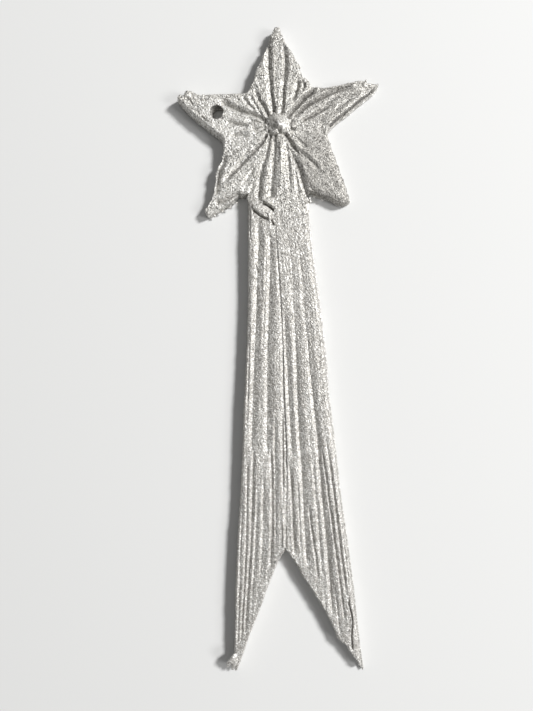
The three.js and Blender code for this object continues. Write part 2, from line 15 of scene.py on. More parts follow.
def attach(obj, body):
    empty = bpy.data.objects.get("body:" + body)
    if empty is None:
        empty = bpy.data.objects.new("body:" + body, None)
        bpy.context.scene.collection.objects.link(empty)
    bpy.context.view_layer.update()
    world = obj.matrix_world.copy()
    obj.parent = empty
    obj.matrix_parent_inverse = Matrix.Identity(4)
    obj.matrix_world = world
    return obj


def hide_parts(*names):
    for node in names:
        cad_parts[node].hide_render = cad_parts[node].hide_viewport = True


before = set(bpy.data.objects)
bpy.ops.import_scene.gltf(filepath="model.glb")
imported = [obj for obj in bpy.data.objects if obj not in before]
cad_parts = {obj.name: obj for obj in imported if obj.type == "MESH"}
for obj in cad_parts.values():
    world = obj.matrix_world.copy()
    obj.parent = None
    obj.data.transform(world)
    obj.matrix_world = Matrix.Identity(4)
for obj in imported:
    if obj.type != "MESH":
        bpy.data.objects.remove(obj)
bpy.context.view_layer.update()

MM = 0.001

# The camera looks straight down. One pixel of the 533 by 711 frame covers PIXEL mm at REFERENCE_Z.
FRAME_WIDTH = 533
FRAME_HEIGHT = 711
PIXEL = 0.234
REFERENCE_Z = 2.0
STAR_CENTRE_PIXEL = (277.0, 127.0)
EYE_HEIGHT = 125.0
EYE = (
    (FRAME_WIDTH / 2 - STAR_CENTRE_PIXEL[0]) * PIXEL,
    -(FRAME_HEIGHT / 2 - STAR_CENTRE_PIXEL[1]) * PIXEL,
    REFERENCE_Z + EYE_HEIGHT,
)

# Light: where the key lamp stands, seen from the ornament, and where the two lamps' light comes from
KEY_AZIMUTH = 28.0
KEY_ELEVATION = 40.0
LIGHT_AZIMUTH = 14.0
LAMP_DISTANCE = 1.4  # in metres

# Heights above the table, mm
CARD_TOP = 0.8
STAR_ROOT = 3.3
STAR_TIP = 2.45
TAIL_TOP = 2.95
NECK_TOP = 3.25
FOOT = CARD_TOP + 0.06  # foot of the rounded edge of the pulp
ROUNDNESS = 2.6  # power of that edge's curve: the higher, the steeper its foot

# Other lengths, mm
SEAM_GAP = 0.03  # gap between the streamers near the neck
GRAIN = 0.125  # distance between neighbouring points of a moulded surface
FULL_PAINTED_SHADE = 0.5  # depth of a groove whose shaded slope gets the darkest painted shade


# Places

def seen(px, py, height):
    """The place, in mm, of a point that shows at a pixel of the frame and is at a height."""
    reach = PIXEL * (EYE[2] - height) / EYE_HEIGHT
    return (
        EYE[0] + (px - FRAME_WIDTH / 2) * reach,
        EYE[1] - (py - FRAME_HEIGHT / 2) * reach,
    )


def traced(points, height):
    return np.array([seen(px, py, height) for px, py in points])


def smooth(value):
    value = np.clip(value, 0.0, 1.0)
    return value * value * (3.0 - 2.0 * value)


def ramp(value, start, run):
    """0 up to the start, and 1 from the end of the run on."""
    return smooth((value - start) / run)


def peak(value, middle, reach):
    """1 at the middle, and 0 from a reach away from it on."""
    return np.clip(1 - np.abs(value - middle) / reach, 0, 1)


def blend(low, high, share):
    return low + (high - low) * share


def lumps(x, y, size, seed):
    """Smooth noise from about -1 to 1, in lumps of a size in mm."""
    u = x / size + 31.7 * seed
    v = y / size - 17.3 * seed
    i = np.floor(u).astype(np.int64)
    j = np.floor(v).astype(np.int64)
    fu = u - i
    fv = v - j

    def corner(di, dj):
        mixed = ((i + di) * 374761393 + (j + dj) * 668265263 + seed * 974634777) & 0xFFFFFFFF
        mixed = ((mixed ^ (mixed >> 13)) * 1274126177) & 0xFFFFFFFF
        turn = ((mixed >> 8) & 0xFFFF) * (2 * math.pi / 65536)
        return np.cos(turn) * (fu - di) + np.sin(turn) * (fv - dj)

    wu = fu * fu * fu * (fu * (6 * fu - 15) + 10)
    wv = fv * fv * fv * (fv * (6 * fv - 15) + 10)
    low = corner(0, 0) * (1 - wu) + corner(1, 0) * wu
    high = corner(0, 1) * (1 - wu) + corner(1, 1) * wu
    return 1.5 * (low * (1 - wv) + high * wv)


def cross(a, b):
    return a[..., 0] * b[..., 1] - a[..., 1] * b[..., 0]


def right_of(ahead):
    """Unit steps to the right of directions."""
    ahead = ahead / np.maximum(np.hypot(*ahead.T), 1e-9)[:, None]
    return np.stack([ahead[:, 1], -ahead[:, 0]], axis=1)


def measured(line):
    """The steps between a line's points, their lengths, and how far along it each point is."""
    steps = np.diff(line, axis=0)
    lengths = np.hypot(*steps.T)
    return steps, lengths, np.concatenate([[0.0], np.cumsum(lengths)])


def beside(line, x, y):
    """Distance from a bent line, positive on its left, and the share of the way along it."""
    steps, lengths, starts = measured(line)
    best = np.full(x.shape, 1e9)
    signed = np.zeros(x.shape)
    share = np.zeros(x.shape)
    for (ax, ay), (dx, dy), length, start in zip(line[:-1], steps, lengths, starts):
        t = np.clip(((x - ax) * dx + (y - ay) * dy) / length**2, 0, 1)
        ox = x - ax - t * dx
        oy = y - ay - t * dy
        away = np.hypot(ox, oy)
        closer = away < best
        best = np.where(closer, away, best)
        signed = np.where(closer, np.where(dx * oy - dy * ox >= 0, away, -away), signed)
        share = np.where(closer, (start + t * length) / starts[-1], share)
    return signed, share


# Folds: grooves and ridges of the moulded surface

LIT_FROM = 0.35  # how far from its bottom a groove's lit slope still gets painted shade, in mm
TO_LIGHT = np.array([math.cos(math.radians(LIGHT_AZIMUTH)), math.sin(math.radians(LIGHT_AZIMUTH))])


def fold(points, depth, bright, grey, height=3.0, ends=(0.12, 0.12), rise=False, shape=1.35):
    """A groove, or a ridge, along pixels of the frame.

    bright is the width in mm of its slope that faces the light, and grey that of the other one.
    depth is one number, or several from start to end. ends are the shares over which it starts and
    stops. shape is 1 for straight slopes, and more for slopes that are steep at the line.
    """
    line = traced(points, height)
    depths = (depth, depth) if np.isscalar(depth) else depth
    if cross(line[-1] - line[0], TO_LIGHT) < 0:
        line = line[::-1]
        depths = depths[::-1]
        ends = ends[::-1]
    lamp_side, far_side = (bright, grey) if rise else (grey, bright)
    slopes = {"lamp_side": lamp_side, "far_side": far_side, "shape": shape}
    return {"line": line, "depths": depths, "ends": ends, "rise": rise, **slopes}


def ridge(*row, **others):
    return fold(*row, rise=True, **others)


def furrow(points, depth, shade, lit, height=3.0, ends=(0.12, 0.12), shape=1.0):
    """A groove whose shaded slope runs along pixels of the frame. Its slopes' widths are in pixels."""
    made = fold(points, depth, lit * PIXEL, shade * PIXEL, height, ends, shape=shape)
    made["line"] = made["line"] + 0.5 * shade * PIXEL * right_of(np.gradient(made["line"], axis=0))
    return made


def folded(folds, x, y):
    """How far the folds lower and lift the surface, and how deep it is on their shaded slopes, which sets
    their painted shade.
    """
    lowered, lifted, shaded = (np.zeros(x.shape) for _ in range(3))
    for f in folds:
        reach = max(f["lamp_side"], f["far_side"])
        low = f["line"].min(0) - reach
        high = f["line"].max(0) + reach
        near = np.nonzero((x > low[0]) & (x < high[0]) & (y > low[1]) & (y < high[1]))[0]
        if not len(near):
            continue
        signed, share = beside(f["line"], x[near], y[near])
        width = np.where(signed >= 0, f["lamp_side"], f["far_side"])
        slope = np.clip(1 - np.abs(signed) / width, 0, 1) ** f["shape"]
        first, last = f["ends"]
        along = smooth(share / first) if first else 1.0
        along = along * (smooth((1 - share) / last) if last else 1.0)
        size = np.interp(share, np.linspace(0, 1, len(f["depths"])), f["depths"]) * slope * along
        target = lifted if f["rise"] else lowered
        target[near] = np.maximum(target[near], size)
        # Painted shade: a groove's shaded slope gets it by its depth, and its lit slope only near the
        # bottom.
        if not f["rise"]:
            shaded[near] = np.maximum(shaded[near], size * np.clip(1 + signed / LIT_FROM, 0, 1))
    return lowered, lifted, shaded


# Outlines

def outward(loop):
    """Directions out of an anticlockwise loop."""
    return right_of(np.roll(loop, -1, axis=0) - np.roll(loop, 1, axis=0))


def eased(values, times):
    for _ in range(times):
        values = (np.roll(values, 1, axis=0) + 2 * values + np.roll(values, -1, axis=0)) / 4
    return values


def torn(seed, *parts):
    """An anticlockwise loop of torn edges, and which of its points are free edges.

    The parts follow one another, each up to the next one's start. Each has its points, how far it is
    moved outwards, the size in mm of its nubs and whether it is a free edge, and not one that meets
    another piece.
    """
    runs = []
    for k, (points, out, rough, free) in enumerate(parts):
        points = np.vstack([points, parts[(k + 1) % len(parts)][0][:1]])
        *_, starts = measured(points)
        count = max(1, int(round(starts[-1] / GRAIN)))
        at = np.arange(count) * starts[-1] / count
        xy = [np.interp(at, starts, column) for column in points.T]
        runs.append(np.stack([*xy, *(np.full(count, v) for v in (out, rough, free))], axis=1))
    rows = np.vstack(runs)
    if np.sum(cross(rows, np.roll(rows, -1, axis=0))) < 0:
        rows = rows[::-1]
    loop = eased(rows[:, :2], 1)
    out, rough = eased(rows[:, 2:4], 3).T
    x, y = loop.T
    nubs = 0.55 * lumps(x, y, 1.3, seed) + 0.4 * lumps(x, y, 0.55, seed + 1)
    nubs += 0.6 * np.maximum(lumps(x, y, 0.8, seed + 2) - 0.25, 0)
    return without_kinks(loop + outward(loop) * (out + rough * nubs)[:, None], rows[:, 4] > 0.5)


KINK_STEPS = range(2, 9)


def without_kinks(loop, free):
    """The loop without the few points where it would cross itself, a few steps on, at a corner."""
    for gap in (*KINK_STEPS, *KINK_STEPS):
        along = np.roll(loop, -1, axis=0) - loop
        beyond = np.roll(along, -gap, axis=0)
        slant = cross(along, beyond)
        slant = np.where(np.abs(slant) < 1e-12, 1e-12, slant)
        between = np.roll(loop, -gap, axis=0) - loop
        first = cross(between, beyond) / slant
        second = cross(between, along) / slant
        crossed = (first >= 0) & (first <= 1) & (second >= 0) & (second <= 1)
        kept = np.ones(len(loop), bool)
        for k in np.nonzero(crossed)[0]:
            kept[(k + 1 + np.arange(gap)) % len(loop)] = False
        loop, free = loop[kept], free[kept]
    return loop, free


def circle(centre, radius, count):
    """A clockwise loop, for a hole."""
    turns = np.linspace(0, -2 * math.pi, count, endpoint=False)
    return np.stack([centre[0] + radius * np.cos(turns), centre[1] + radius * np.sin(turns)], axis=1)


def crossings(loops, y):
    """Where the loops cross a level, from left to right."""
    found = []
    for loop in loops:
        after = np.roll(loop, -1, axis=0)
        cut = (loop[:, 1] <= y) != (after[:, 1] <= y)
        a, b = loop[cut], after[cut]
        found.append(a[:, 0] + (y - a[:, 1]) / (b[:, 1] - a[:, 1]) * (b[:, 0] - a[:, 0]))
    return np.sort(np.concatenate(found))


def enclosed(loop, points):
    """Which points lie inside a loop."""
    inside = np.zeros(len(points), bool)
    low, high = loop.min(0), loop.max(0)
    near = np.nonzero(((points > low) & (points < high)).all(axis=1))[0]
    for k in near:
        inside[k] = np.searchsorted(crossings([loop], points[k, 1]), points[k, 0]) % 2 == 1
    return inside


JITTER = 0.12  # share of the spacing by which a point inside is off its row


def points_inside(loops, spacing, seed):
    """Points in rows inside the outer loop and outside the holes."""
    draws = np.random.default_rng(seed)
    low = loops[0].min(0)
    high = loops[0].max(0)
    rows = []
    step = spacing * math.sqrt(3) / 2
    for k, y in enumerate(np.arange(low[1] + step / 2, high[1], step)):
        row = np.arange(low[0] + (k % 2) * spacing / 2, high[0], spacing)
        row = row[np.searchsorted(crossings(loops, y), row) % 2 == 1]
        rows.append(np.stack([row, np.full(row.shape, y)], axis=1))
    points = np.vstack(rows)
    return points + draws.uniform(-JITTER, JITTER, points.shape) * spacing


def tree_of(points):
    tree = kdtree.KDTree(len(points))
    for k, (x, y) in enumerate(points):
        tree.insert((x, y, 0.0), k)
    tree.balance()
    return tree


def triangulated(points, loops):
    """Triangles over points whose first entries are the loops, one after another."""
    edges = []
    start = 0
    for loop in loops:
        count = len(loop)
        edges += [(start + k, start + (k + 1) % count) for k in range(count)]
        start += count
    inside = 1
    made = geometry.delaunay_2d_cdt([Vector(p) for p in points], edges, [], inside, 1e-7)
    places = np.array([tuple(v) for v in made[0]])
    faces = np.array([face[:3] for face in made[2]])
    for hole in loops[1:]:
        faces = faces[~enclosed(hole, places[faces].mean(axis=1))]
    a, b, c = (places[faces[:, k]] for k in range(3))
    down = cross(b - a, c - a) < 0
    faces[down] = faces[down][:, ::-1]
    new_place = np.full(len(points), -1)
    for new, olds in enumerate(made[3]):
        for old in olds:
            new_place[old] = new
    return places, faces, new_place


WALL_ROWS = (0.05, 0.11, 0.18, 0.27)  # distances from the edge of the extra rows of points, in mm
ROW_SHARE = 0.86  # of its distance, nearer than which a row's point is left out, as at a sharp corner
SPACING_SHARE = 0.55  # of the spacing, which the inner points keep from the last row
RIM_REACH = 0.6  # how far in from the edge crumbs can lie


def slab(name, outer, height, floor, holes=(), spacing=GRAIN, wall_rows=WALL_ROWS, hole_steps=8, seed=1,
         tone_and_painted_light=None):
    """A closed piece under a surface. height gives z and painted shade from x, y and the distance to the
    nearest free edge.

    holes has a loop at the top and one at the bottom for each hole. The attributes of the piece say which
    points are loose, how much painted shade they get, how near the edge they are, and their tone: above zero
    darker, below zero lighter, partly painted light and shade.
    """
    loops = [outer[0], *(upper for upper, lower in holes)]
    low_loops = [outer[0], *(lower for upper, lower in holes)]
    edge = np.vstack(loops)
    low_edge = np.vstack(low_loops)
    edge_tree = tree_of(edge)
    free_tree = tree_of(outer[0][outer[1]])

    def to_edge(points, tree=edge_tree):
        return np.array([tree.find((x, y, 0.0))[2] for x, y in points])

    candidates = []
    for distance in wall_rows:
        row = edge - np.vstack([outward(loop) for loop in loops]) * distance
        candidates.append(row[to_edge(row) > ROW_SHARE * distance])
    inner = points_inside(loops, spacing, seed)
    inner = inner[to_edge(inner) > wall_rows[-1] + SPACING_SHARE * spacing]
    places, faces, new_place = triangulated(np.vstack([edge, *candidates, inner]), loops)
    x, y = places.T
    rim = to_edge(places, free_tree)
    top_z, groove = height(x, y, rim)
    top = np.stack([x, y, top_z], axis=1)

    _, under, under_place = triangulated(low_edge, low_loops)
    back = np.zeros(len(edge), int)
    back[under_place] = np.arange(len(edge))
    bottom = np.stack([low_edge[:, 0], low_edge[:, 1], np.full(len(edge), floor)], axis=1)
    points = [top, bottom]
    triangles = [faces, len(top) + back[under][:, ::-1]]
    made = len(top) + len(bottom)
    start = 0
    lefts = [np.zeros(0)]
    for k, loop in enumerate(loops):
        count = len(loop)
        here = start + np.arange(count)
        rows = [new_place[here]]
        for step in range(1, hole_steps if k else 1):
            share = step / hole_steps
            points.append(top[rows[0]] * (1 - share) + bottom[here] * share)
            lefts.append((loop[:, 0].mean() - loop[:, 0]) / (np.ptp(loop[:, 0]) / 2))
            rows.append(made + np.arange(count))
            made += count
        rows.append(len(top) + here)
        for upper, lower in zip(rows, rows[1:]):
            upper_next, lower_next = np.roll(upper, -1), np.roll(lower, -1)
            triangles.append(np.stack([lower, lower_next, upper_next], axis=1))
            triangles.append(np.stack([lower, upper_next, upper], axis=1))
        start += count
    piece = mesh_piece(name, np.vstack(points), np.vstack(triangles))
    # A hole's wall gets a painted highlight on its left, where wall is 1, and painted shade on its right, at
    # -1.
    wall = np.concatenate(lefts)
    for label, on_top, on_wall in (
        ("loose", np.ones(len(top)), np.ones(len(wall))),
        ("groove", groove, np.clip(1.5 - 1.3 * wall, 0, 2)),
        ("rim", np.clip(1 - rim / RIM_REACH, 0, 1), np.zeros(len(wall))),
        ("tone_and_painted_light", tone_and_painted_light(x, y) if tone_and_painted_light else np.zeros(len(x)), -0.9 * np.clip(wall, 0, 1)),
    ):
        add_attribute(piece, label, np.concatenate([on_top, np.zeros(len(bottom)), on_wall]))
    return piece


def placed(name, data):
    """A new object of the scene."""
    made = bpy.data.objects.new(name, data)
    bpy.context.scene.collection.objects.link(made)
    return made


def mesh_piece(name, points, triangles):
    mesh = bpy.data.meshes.new(name)
    mesh.vertices.add(len(points))
    mesh.vertices.foreach_set("co", (points * MM).astype(np.float32).ravel())
    mesh.loops.add(3 * len(triangles))
    mesh.loops.foreach_set("vertex_index", triangles.astype(np.int32).ravel())
    mesh.polygons.add(len(triangles))
    mesh.polygons.foreach_set("loop_start", np.arange(0, 3 * len(triangles), 3, dtype=np.int32))
    mesh.polygons.foreach_set("use_smooth", np.ones(len(triangles), bool))
    mesh.update(calc_edges=True)
    mesh.validate()
    return placed(name, mesh)


def add_attribute(piece, name, values):
    attribute = piece.data.attributes.new(name, "FLOAT", "POINT")
    attribute.data.foreach_set("value", values.astype(np.float32))


def edge_round(rim, radius, power=ROUNDNESS):
    """How far up its rounded edge the surface is: 0 at the edge, and 1 from a radius inside it on."""
    return 1 - np.clip(1 - rim / radius, 0, 1) ** power


# Star

# Outline of the star, anticlockwise from the top ray's tip, in pixels. A side that faces the camera's
# foot shows the card's lower edge, and the opposite side shows the upper edge of the pulp.
# Each kind of side has the height of what shows, and how far out the pulp and the card reach from it.
STAR_SIDES = {
    "far": (2.2, 0.05, 0.1),
    "near": (0.1, -0.06, 0.0),
    "flange": (0.3, -0.12, 0.04),
    "side": (1.1, -0.06, 0.04),
    "west": (2.3, 0.0, 0.06),
    "crisp": (2.2, 0.03, 0.08),
    "slot": (0.1, -0.1, 0.0),
}
STAR_RUNS = [
    ("far", [(280, 26.5), (277, 27.2), (274, 27.5), (272, 33), (269.3, 39), (268, 45), (265, 51),
        (262, 57)]),
    ("far", [(259.7, 63), (256.5, 69), (255, 75), (253.5, 81), (250, 87), (247.7, 92), (245, 94)]),
    ("crisp", [(238, 94), (230, 94), (220, 94.5), (210, 95.2), (200, 95.6), (197, 95), (194, 92.6)]),
    ("far", [(190, 91.8), (187, 91.5), (185, 93.5), (183.3, 96.3), (181, 95), (178.5, 96), (177.4, 99)]),
    ("near", [(179.4, 105.5), (183, 109.5), (186, 113), (189.5, 117), (195, 121.4), (200, 126)]),
    ("near", [(206, 130.5), (212, 135.2), (218, 140), (222.5, 143.6), (223.6, 147)]),
    ("side", [(223.6, 152), (223.2, 156)]),
    ("west", [(221, 162), (218.6, 166), (217, 169.5), (216, 174), (215.2, 181), (214.2, 190), (213, 196)]),
    ("side", [(211.5, 200), (209.6, 203.5), (207.6, 206.5), (205.2, 210), (204.8, 213)]),
    ("near", [(206.4, 216.3), (209, 218.7), (212.4, 217.4), (216.5, 215), (221, 212.3), (225, 210)]),
    ("near", [(229.5, 208), (233, 205.4), (236, 201.5), (239.5, 198.8), (243.5, 199), (247.5, 198)]),
    ("slot", [(262, 199), (290, 199), (306, 197.5)]),
    ("near", [(309.5, 195.2), (313, 196), (319, 199), (325, 200.2)]),
    ("near", [(330, 202), (334, 204.5), (339, 207), (343.5, 207), (347, 206), (350, 203.4)]),
    ("side", [(348.4, 196), (346.3, 189), (344, 182.5), (341.8, 176), (339.5, 170), (337.2, 164)]),
    ("side", [(335, 158), (332.7, 152), (330.6, 146), (328.7, 140), (327.2, 135), (328, 131.8)]),
    ("near", [(331, 130), (335.4, 126), (338.6, 123.2)]),
    ("flange", [(342.4, 120), (346.6, 117), (352.8, 111.4), (358.2, 107.2), (363.2, 103.2), (368.2, 99.4),
        (372, 95.8)]),
    ("side", [(376, 90.6), (378.2, 87.4), (378, 84.8)]),
    ("far", [(375, 83.4), (371, 83.2), (368, 83.6), (366, 80.6), (362, 80.4), (357, 80.6), (352, 82)]),
    ("far", [(345, 83.6), (338, 85.6), (331, 87.2), (324, 88.6), (320, 87.2), (317, 87.6), (311.5, 87.6)]),
    ("far", [(309.2, 83), (307.6, 79.6), (304, 79.2), (302.4, 76), (301, 71), (299.6, 66.6), (300, 64.6)]),
    ("far", [(297, 61.6), (294.5, 57), (291.6, 51), (288.6, 47.6), (286, 43.6), (284, 39), (281.8, 33)]),
]
# Slot in the star card for the tail card's tongue and shoulders, anticlockwise in mm
SLOT = [(-6.9, -14.7), (-3.6, -14.7), (-3.6, -6.2), (4.0, -6.2), (4.0, -14.7), (7.1, -14.7)]
TONGUE = [(6.7, -15.0), (3.7, -15.0), (3.7, -6.5), (-3.3, -6.5), (-3.3, -15.0), (-6.5, -15.0)]

HOLE_PLACE = (-14.1, 3.1)
HOLE_RADIUS = 1.62
HOLE_TOP = 2.85
HOLE_TAPER = 0.2  # how much narrower the hole is at the back
HOLE_LEAN = (0.5, 0.15)  # how far the punch was out of true
HOLE_WEAR = (0.12, 0.16)  # depth and width of the worn edge round the hole
UNDER_NECK = 0.9  # how far the star's surface is pressed down under the neck

# Where a thin layer shows below the right ray's face, with a crevice between the two
LEDGE = [(328.5, 133), (336, 125.4), (345.4, 118.4), (353.6, 111), (363.2, 103.2), (372.4, 95.4), (376, 90)]
LEDGE_HEIGHT = 0.36
LEDGE_WIDTH = 0.36
CREVICE_DEPTH = 0.3
ledge_line = traced(LEDGE, 0.5)

# Grooves and ridges of the star, ray by ray: pixels, depth, and the widths of the two slopes
STAR_FOLDS = [
    # top ray
    furrow([(250.5, 94), (255, 102), (260, 110), (263.5, 117)], 0.34, 2.2, 3.2),
    furrow([(255.5, 88), (260, 98.5), (265.6, 106.5), (269.4, 114)], (0.4, 0.8), 3.2, 3.6, ends=(0.2, 0)),
    furrow([(272, 35), (270.6, 46), (270.6, 62), (271.4, 75), (272, 84)], (0.5, 0.62, 0.6), 4.2, 4.6,
        ends=(0.1, 0.1)),
    furrow([(271.6, 77), (272.2, 90), (273.7, 102), (275.2, 113)], (0.6, 0.64, 0.7), 3.2, 4.2,
        ends=(0.1, 0)),
    furrow([(284.6, 41), (286.6, 50), (287.2, 62), (286.8, 72), (285.6, 84)], (0.45, 0.65, 0.6), 4.4, 2.6),
    furrow([(286, 77), (284.8, 90), (284.2, 104), (283.2, 112)], (0.55, 0.65, 0.7), 2.8, 4.0,
        ends=(0.15, 0)),
    furrow([(299.8, 79), (298.8, 87), (296.4, 95), (293.4, 101.4)], (0.5, 0.75, 0.6), 3.0, 3.2,
        ends=(0.15, 0.15)),
    furrow([(319, 89.4), (312.5, 93.2), (305, 98.8), (298.6, 106), (293, 112.4), (289.2, 117.4)],
        (0.5, 0.95, 1.1, 1.1), 4.2, 2.8, ends=(0.2, 0)),
    fold([(296.4, 57), (299, 66), (302, 74)], 0.6, 0.3, 0.6),
    fold([(303.2, 80), (304, 86), (302, 91)], 0.3, 0.4, 0.5),
    # right ray
    furrow([(296.4, 116), (302, 111), (308.6, 105.4), (316.4, 101), (325, 96.8), (336, 91.4), (347, 88.4),
        (357, 88)], (0.7, 0.9, 0.9, 0.75, 0.55, 0.45, 0.35), 3.2, 2.8, ends=(0, 0.2)),
    furrow([(301, 122), (307.6, 119), (315, 115.2), (325, 109.4), (335, 103.6)],
        (0.45, 0.7, 0.65, 0.45, 0.2), 2.6, 2.6, ends=(0.1, 0.3)),
    furrow([(321, 107.6), (331, 101), (341, 95.4)], 0.26, 1.8, 2.0, ends=(0.3, 0.3)),
    furrow([(333, 114), (342, 106.6), (352, 99)], 0.2, 3.0, 2.0, ends=(0.3, 0.3)),
    # lower right ray
    furrow([(285.6, 132.6), (288.2, 136.4), (290.8, 140), (293.6, 145), (298.6, 151.6), (304, 158)],
        (0.8, 0.75, 0.55, 0.2), 2.8, 3.0, ends=(0, 0.4)),
    furrow([(296, 136), (302, 141.6), (309, 147.6)], 0.22, 2.0, 2.0, ends=(0.2, 0.3)),
    fold([(296, 148), (307, 157.4), (317, 166), (324, 175)], 0.22, 1.0, 1.4, ends=(0.2, 0.4)),
    fold([(308, 186), (318, 192.4), (330, 199)], 0.2, 0.5, 0.9),
    fold([(304, 126), (315, 128), (326, 133)], 0.15, 1.0, 1.2),
    # below the boss
    furrow([(272.2, 133.4), (271.4, 137.4), (269.6, 141.6), (268.2, 146)], (0.6, 0.6, 0.5, 0.3), 1.8, 2.2,
        ends=(0, 0.1)),
    furrow([(276.6, 133.6), (276.2, 138), (275.4, 142), (274.8, 148)], (0.65, 0.65, 0.5, 0.3), 3.2, 2.4,
        ends=(0, 0.1)),
    # lower left ray
    furrow([(267, 136.8), (262.2, 144.4), (255.6, 151), (249, 157.6)], (0.9, 0.85, 0.75), 2.4, 2.4,
        ends=(0, 0.08)),
    furrow([(252, 154.7), (244.4, 162.2), (237.8, 168.9), (230, 176.7), (222, 185)],
        (0.8, 0.85, 0.65, 0.35), 3.4, 5.0, ends=(0.12, 0.3)),
    furrow([(228, 151), (225.6, 159), (222.8, 168), (220, 178), (218, 187)], (0.3, 0.5, 0.45, 0.4), 4.4,
        3.0, ends=(0.2, 0.2)),
    furrow([(214.6, 204.6), (222, 202.6), (231, 199), (236.7, 195.8), (242, 194.8)], 0.85, 2.4, 3.0,
        height=2.4),
    fold([(249, 151), (248.6, 155)], 0.4, 0.3, 0.35),
    furrow([(257, 166), (252.6, 173), (247, 181), (240, 187)], 0.24, 3.0, 2.6, ends=(0.3, 0.3)),
    fold([(223.4, 163), (220.6, 167.6), (219, 171), (218, 176), (217.2, 182), (216.2, 190), (215, 196)],
        (0.2, 0.8, 0.9, 0.85, 0.6), 0.36, 1.0, height=2.4, ends=(0.3, 0.1), shape=1.2),
    # left ray
    furrow([(217, 98.4), (226.4, 101.4), (234.2, 105.8), (243, 109.2), (254, 112.4), (260, 115.2),
        (266.4, 119.4)], (0.25, 0.8, 1.0, 0.9, 0.75, 0.8, 0.8), 4.4, 3.2, ends=(0.15, 0)),
    furrow([(242.6, 95), (247.4, 101), (252.6, 106.4), (257, 110)], 0.42, 2.2, 3.0, ends=(0.2, 0.2)),
    furrow([(226, 120.6), (234, 122), (242, 123.6), (250, 125)], (0.3, 0.55, 0.55, 0.4), 2.0, 2.6,
        ends=(0.15, 0.2)),
    furrow([(248, 119), (256, 120.4), (265, 122.8)], 0.42, 1.5, 1.8, ends=(0.25, 0.05)),
    furrow([(250, 128.2), (258, 127.4), (266, 126.4)], 0.4, 1.5, 1.8, ends=(0.25, 0.05)),
    furrow([(228, 131.6), (236, 132.4), (244, 132.8), (251, 132)], (0.25, 0.6, 0.6, 0.35), 4.6, 3.0,
        ends=(0.3, 0.3)),
    furrow([(253, 135), (259, 132.4), (266, 130)], 0.4, 1.6, 1.8, ends=(0.25, 0.05)),
    fold([(201, 115.6), (204, 118.4), (206.4, 121)], 0.8, 0.22, 0.26, ends=(0.1, 0.1)),
    fold([(197, 111), (199.6, 114)], 0.4, 0.2, 0.24),
    fold([(186, 97), (190, 101), (193.5, 106)], 0.35, 0.35, 0.45),
    fold([(188, 107), (194, 110.4), (200, 112.6)], 0.2, 0.4, 0.4),
    # ridges that stand above the rays
    ridge([(220.6, 116.6), (230, 118), (238, 119.6), (246, 121.4)], (0.22, 0.3, 0.25), 0.5, 0.6),
    ridge([(232, 136.4), (242, 135.4), (250, 133.6)], 0.16, 0.4, 0.6, ends=(0.3, 0.3)),
    ridge([(325, 127), (333, 119), (340, 113), (349, 105), (358, 97), (366, 89)], 0.46, 0.95, 3.4,
        shape=1.1),
    ridge([(319, 91.6), (327, 88.6), (337, 86.4), (348, 84.8), (358, 84)], 0.3, 0.4, 0.5),
    ridge([(367, 82.6), (371, 86), (374, 88)], 0.2, 0.3, 0.4),
    ridge([(292.6, 140.6), (301, 148.4), (312, 156.6), (324, 168)], 0.2, 0.6, 1.0),
    ridge([(226.4, 200.4), (233, 198), (240, 196.4)], 0.15, 0.5, 0.5, height=2.6),
    ridge([(266, 47), (264.8, 56), (262, 66)], 0.15, 0.7, 0.8),
]

# Beads of pulp on the star: pixel, radius and height in mm
STAR_BEADS = [(306.6, 84, 0.7, 0.3), (304.4, 81.6, 0.5, 0.25), (187.6, 95, 1.0, 0.2), (365, 84, 0.8, 0.25)]
# Flat pellet at the foot of the boss, with a crease round it that is open on the lit side
PELLET_PIXEL = (293.0, 125.2)
PELLET_RADII = (0.7, 1.02)
PELLET_HEIGHT = 0.1
PELLET_CREASE = 0.7
PELLET_LIT_FROM = 30.0

NECK_LEFT = [(269, 139), (262, 155), (256, 172), (251, 186), (247.4, 197), (247.6, 201)]
NECK_RIGHT = [(284, 136), (289, 147), (294.6, 158), (299.4, 170), (302.8, 181.4), (305.4, 191.4), (307, 199)]
NECK_LIP = [
    (247.6, 201), (249.4, 203), (254.5, 200.8), (259.3, 200.6), (263, 201.7), (266, 203.2), (269.8, 205.4),
    (273.2, 207.8),
]
NECK_LIP_END = [(276.2, 210)]
NECK_MELT = [(281, 213), (290, 215), (300, 214.4), (309.4, 212), (308, 205)]
NECK_EYE_HEIGHT = 2.9  # height at which the outline of the neck is traced
LIP_ROUND = 0.13  # width of the rounded edge of the torn lip
LIP_FOOT = 2.0
NECK_VALLEY = fold(NECK_RIGHT[1:], (0.25, 0.5, 0.6, 0.6, 0.55, 0.45), 1.0, 1.25, height=NECK_EYE_HEIGHT,
                   ends=(0.1, 0), shape=1.2)

NECK_FOLDS = [
    fold([(271.6, 136), (268.6, 145), (265.4, 156), (261.6, 167), (259.4, 180), (258.4, 200)],
        (0.45, 0.7, 0.7, 0.62, 0.55), 1.15, 1.15, ends=(0.05, 0)),
    fold([(276, 135), (274.6, 142), (273.8, 155), (273, 168), (271.4, 184), (270.6, 198.6)], (0.5, 0.55),
        1.35, 1.6, ends=(0.03, 0.05)),
    fold([(287.6, 142), (288.2, 156), (289, 170), (290, 182), (290.6, 194)], (0.4, 0.25), 1.45, 0.7,
        ends=(0.1, 0.3)),
    fold([(291.6, 150), (293.4, 160), (295.6, 172), (297.4, 184), (298.6, 196)], (0.1, 0.3, 0.4, 0.4, 0.2),
        0.7, 1.1),
    ridge([(280.6, 140), (281, 156), (281, 172), (280.6, 190)], 0.12, 0.5, 0.8),
]


def star_level(x, y):
    """The rays get thinner towards their tips, but the left one's tip curls up."""
    curl = 0.7 * ramp(-x, 6.0, 20.0) * ramp(y, -6.0, 4.0)
    return blend(STAR_ROOT, STAR_TIP, np.clip(np.hypot(x, y) / 25.0, 0, 1)) + curl


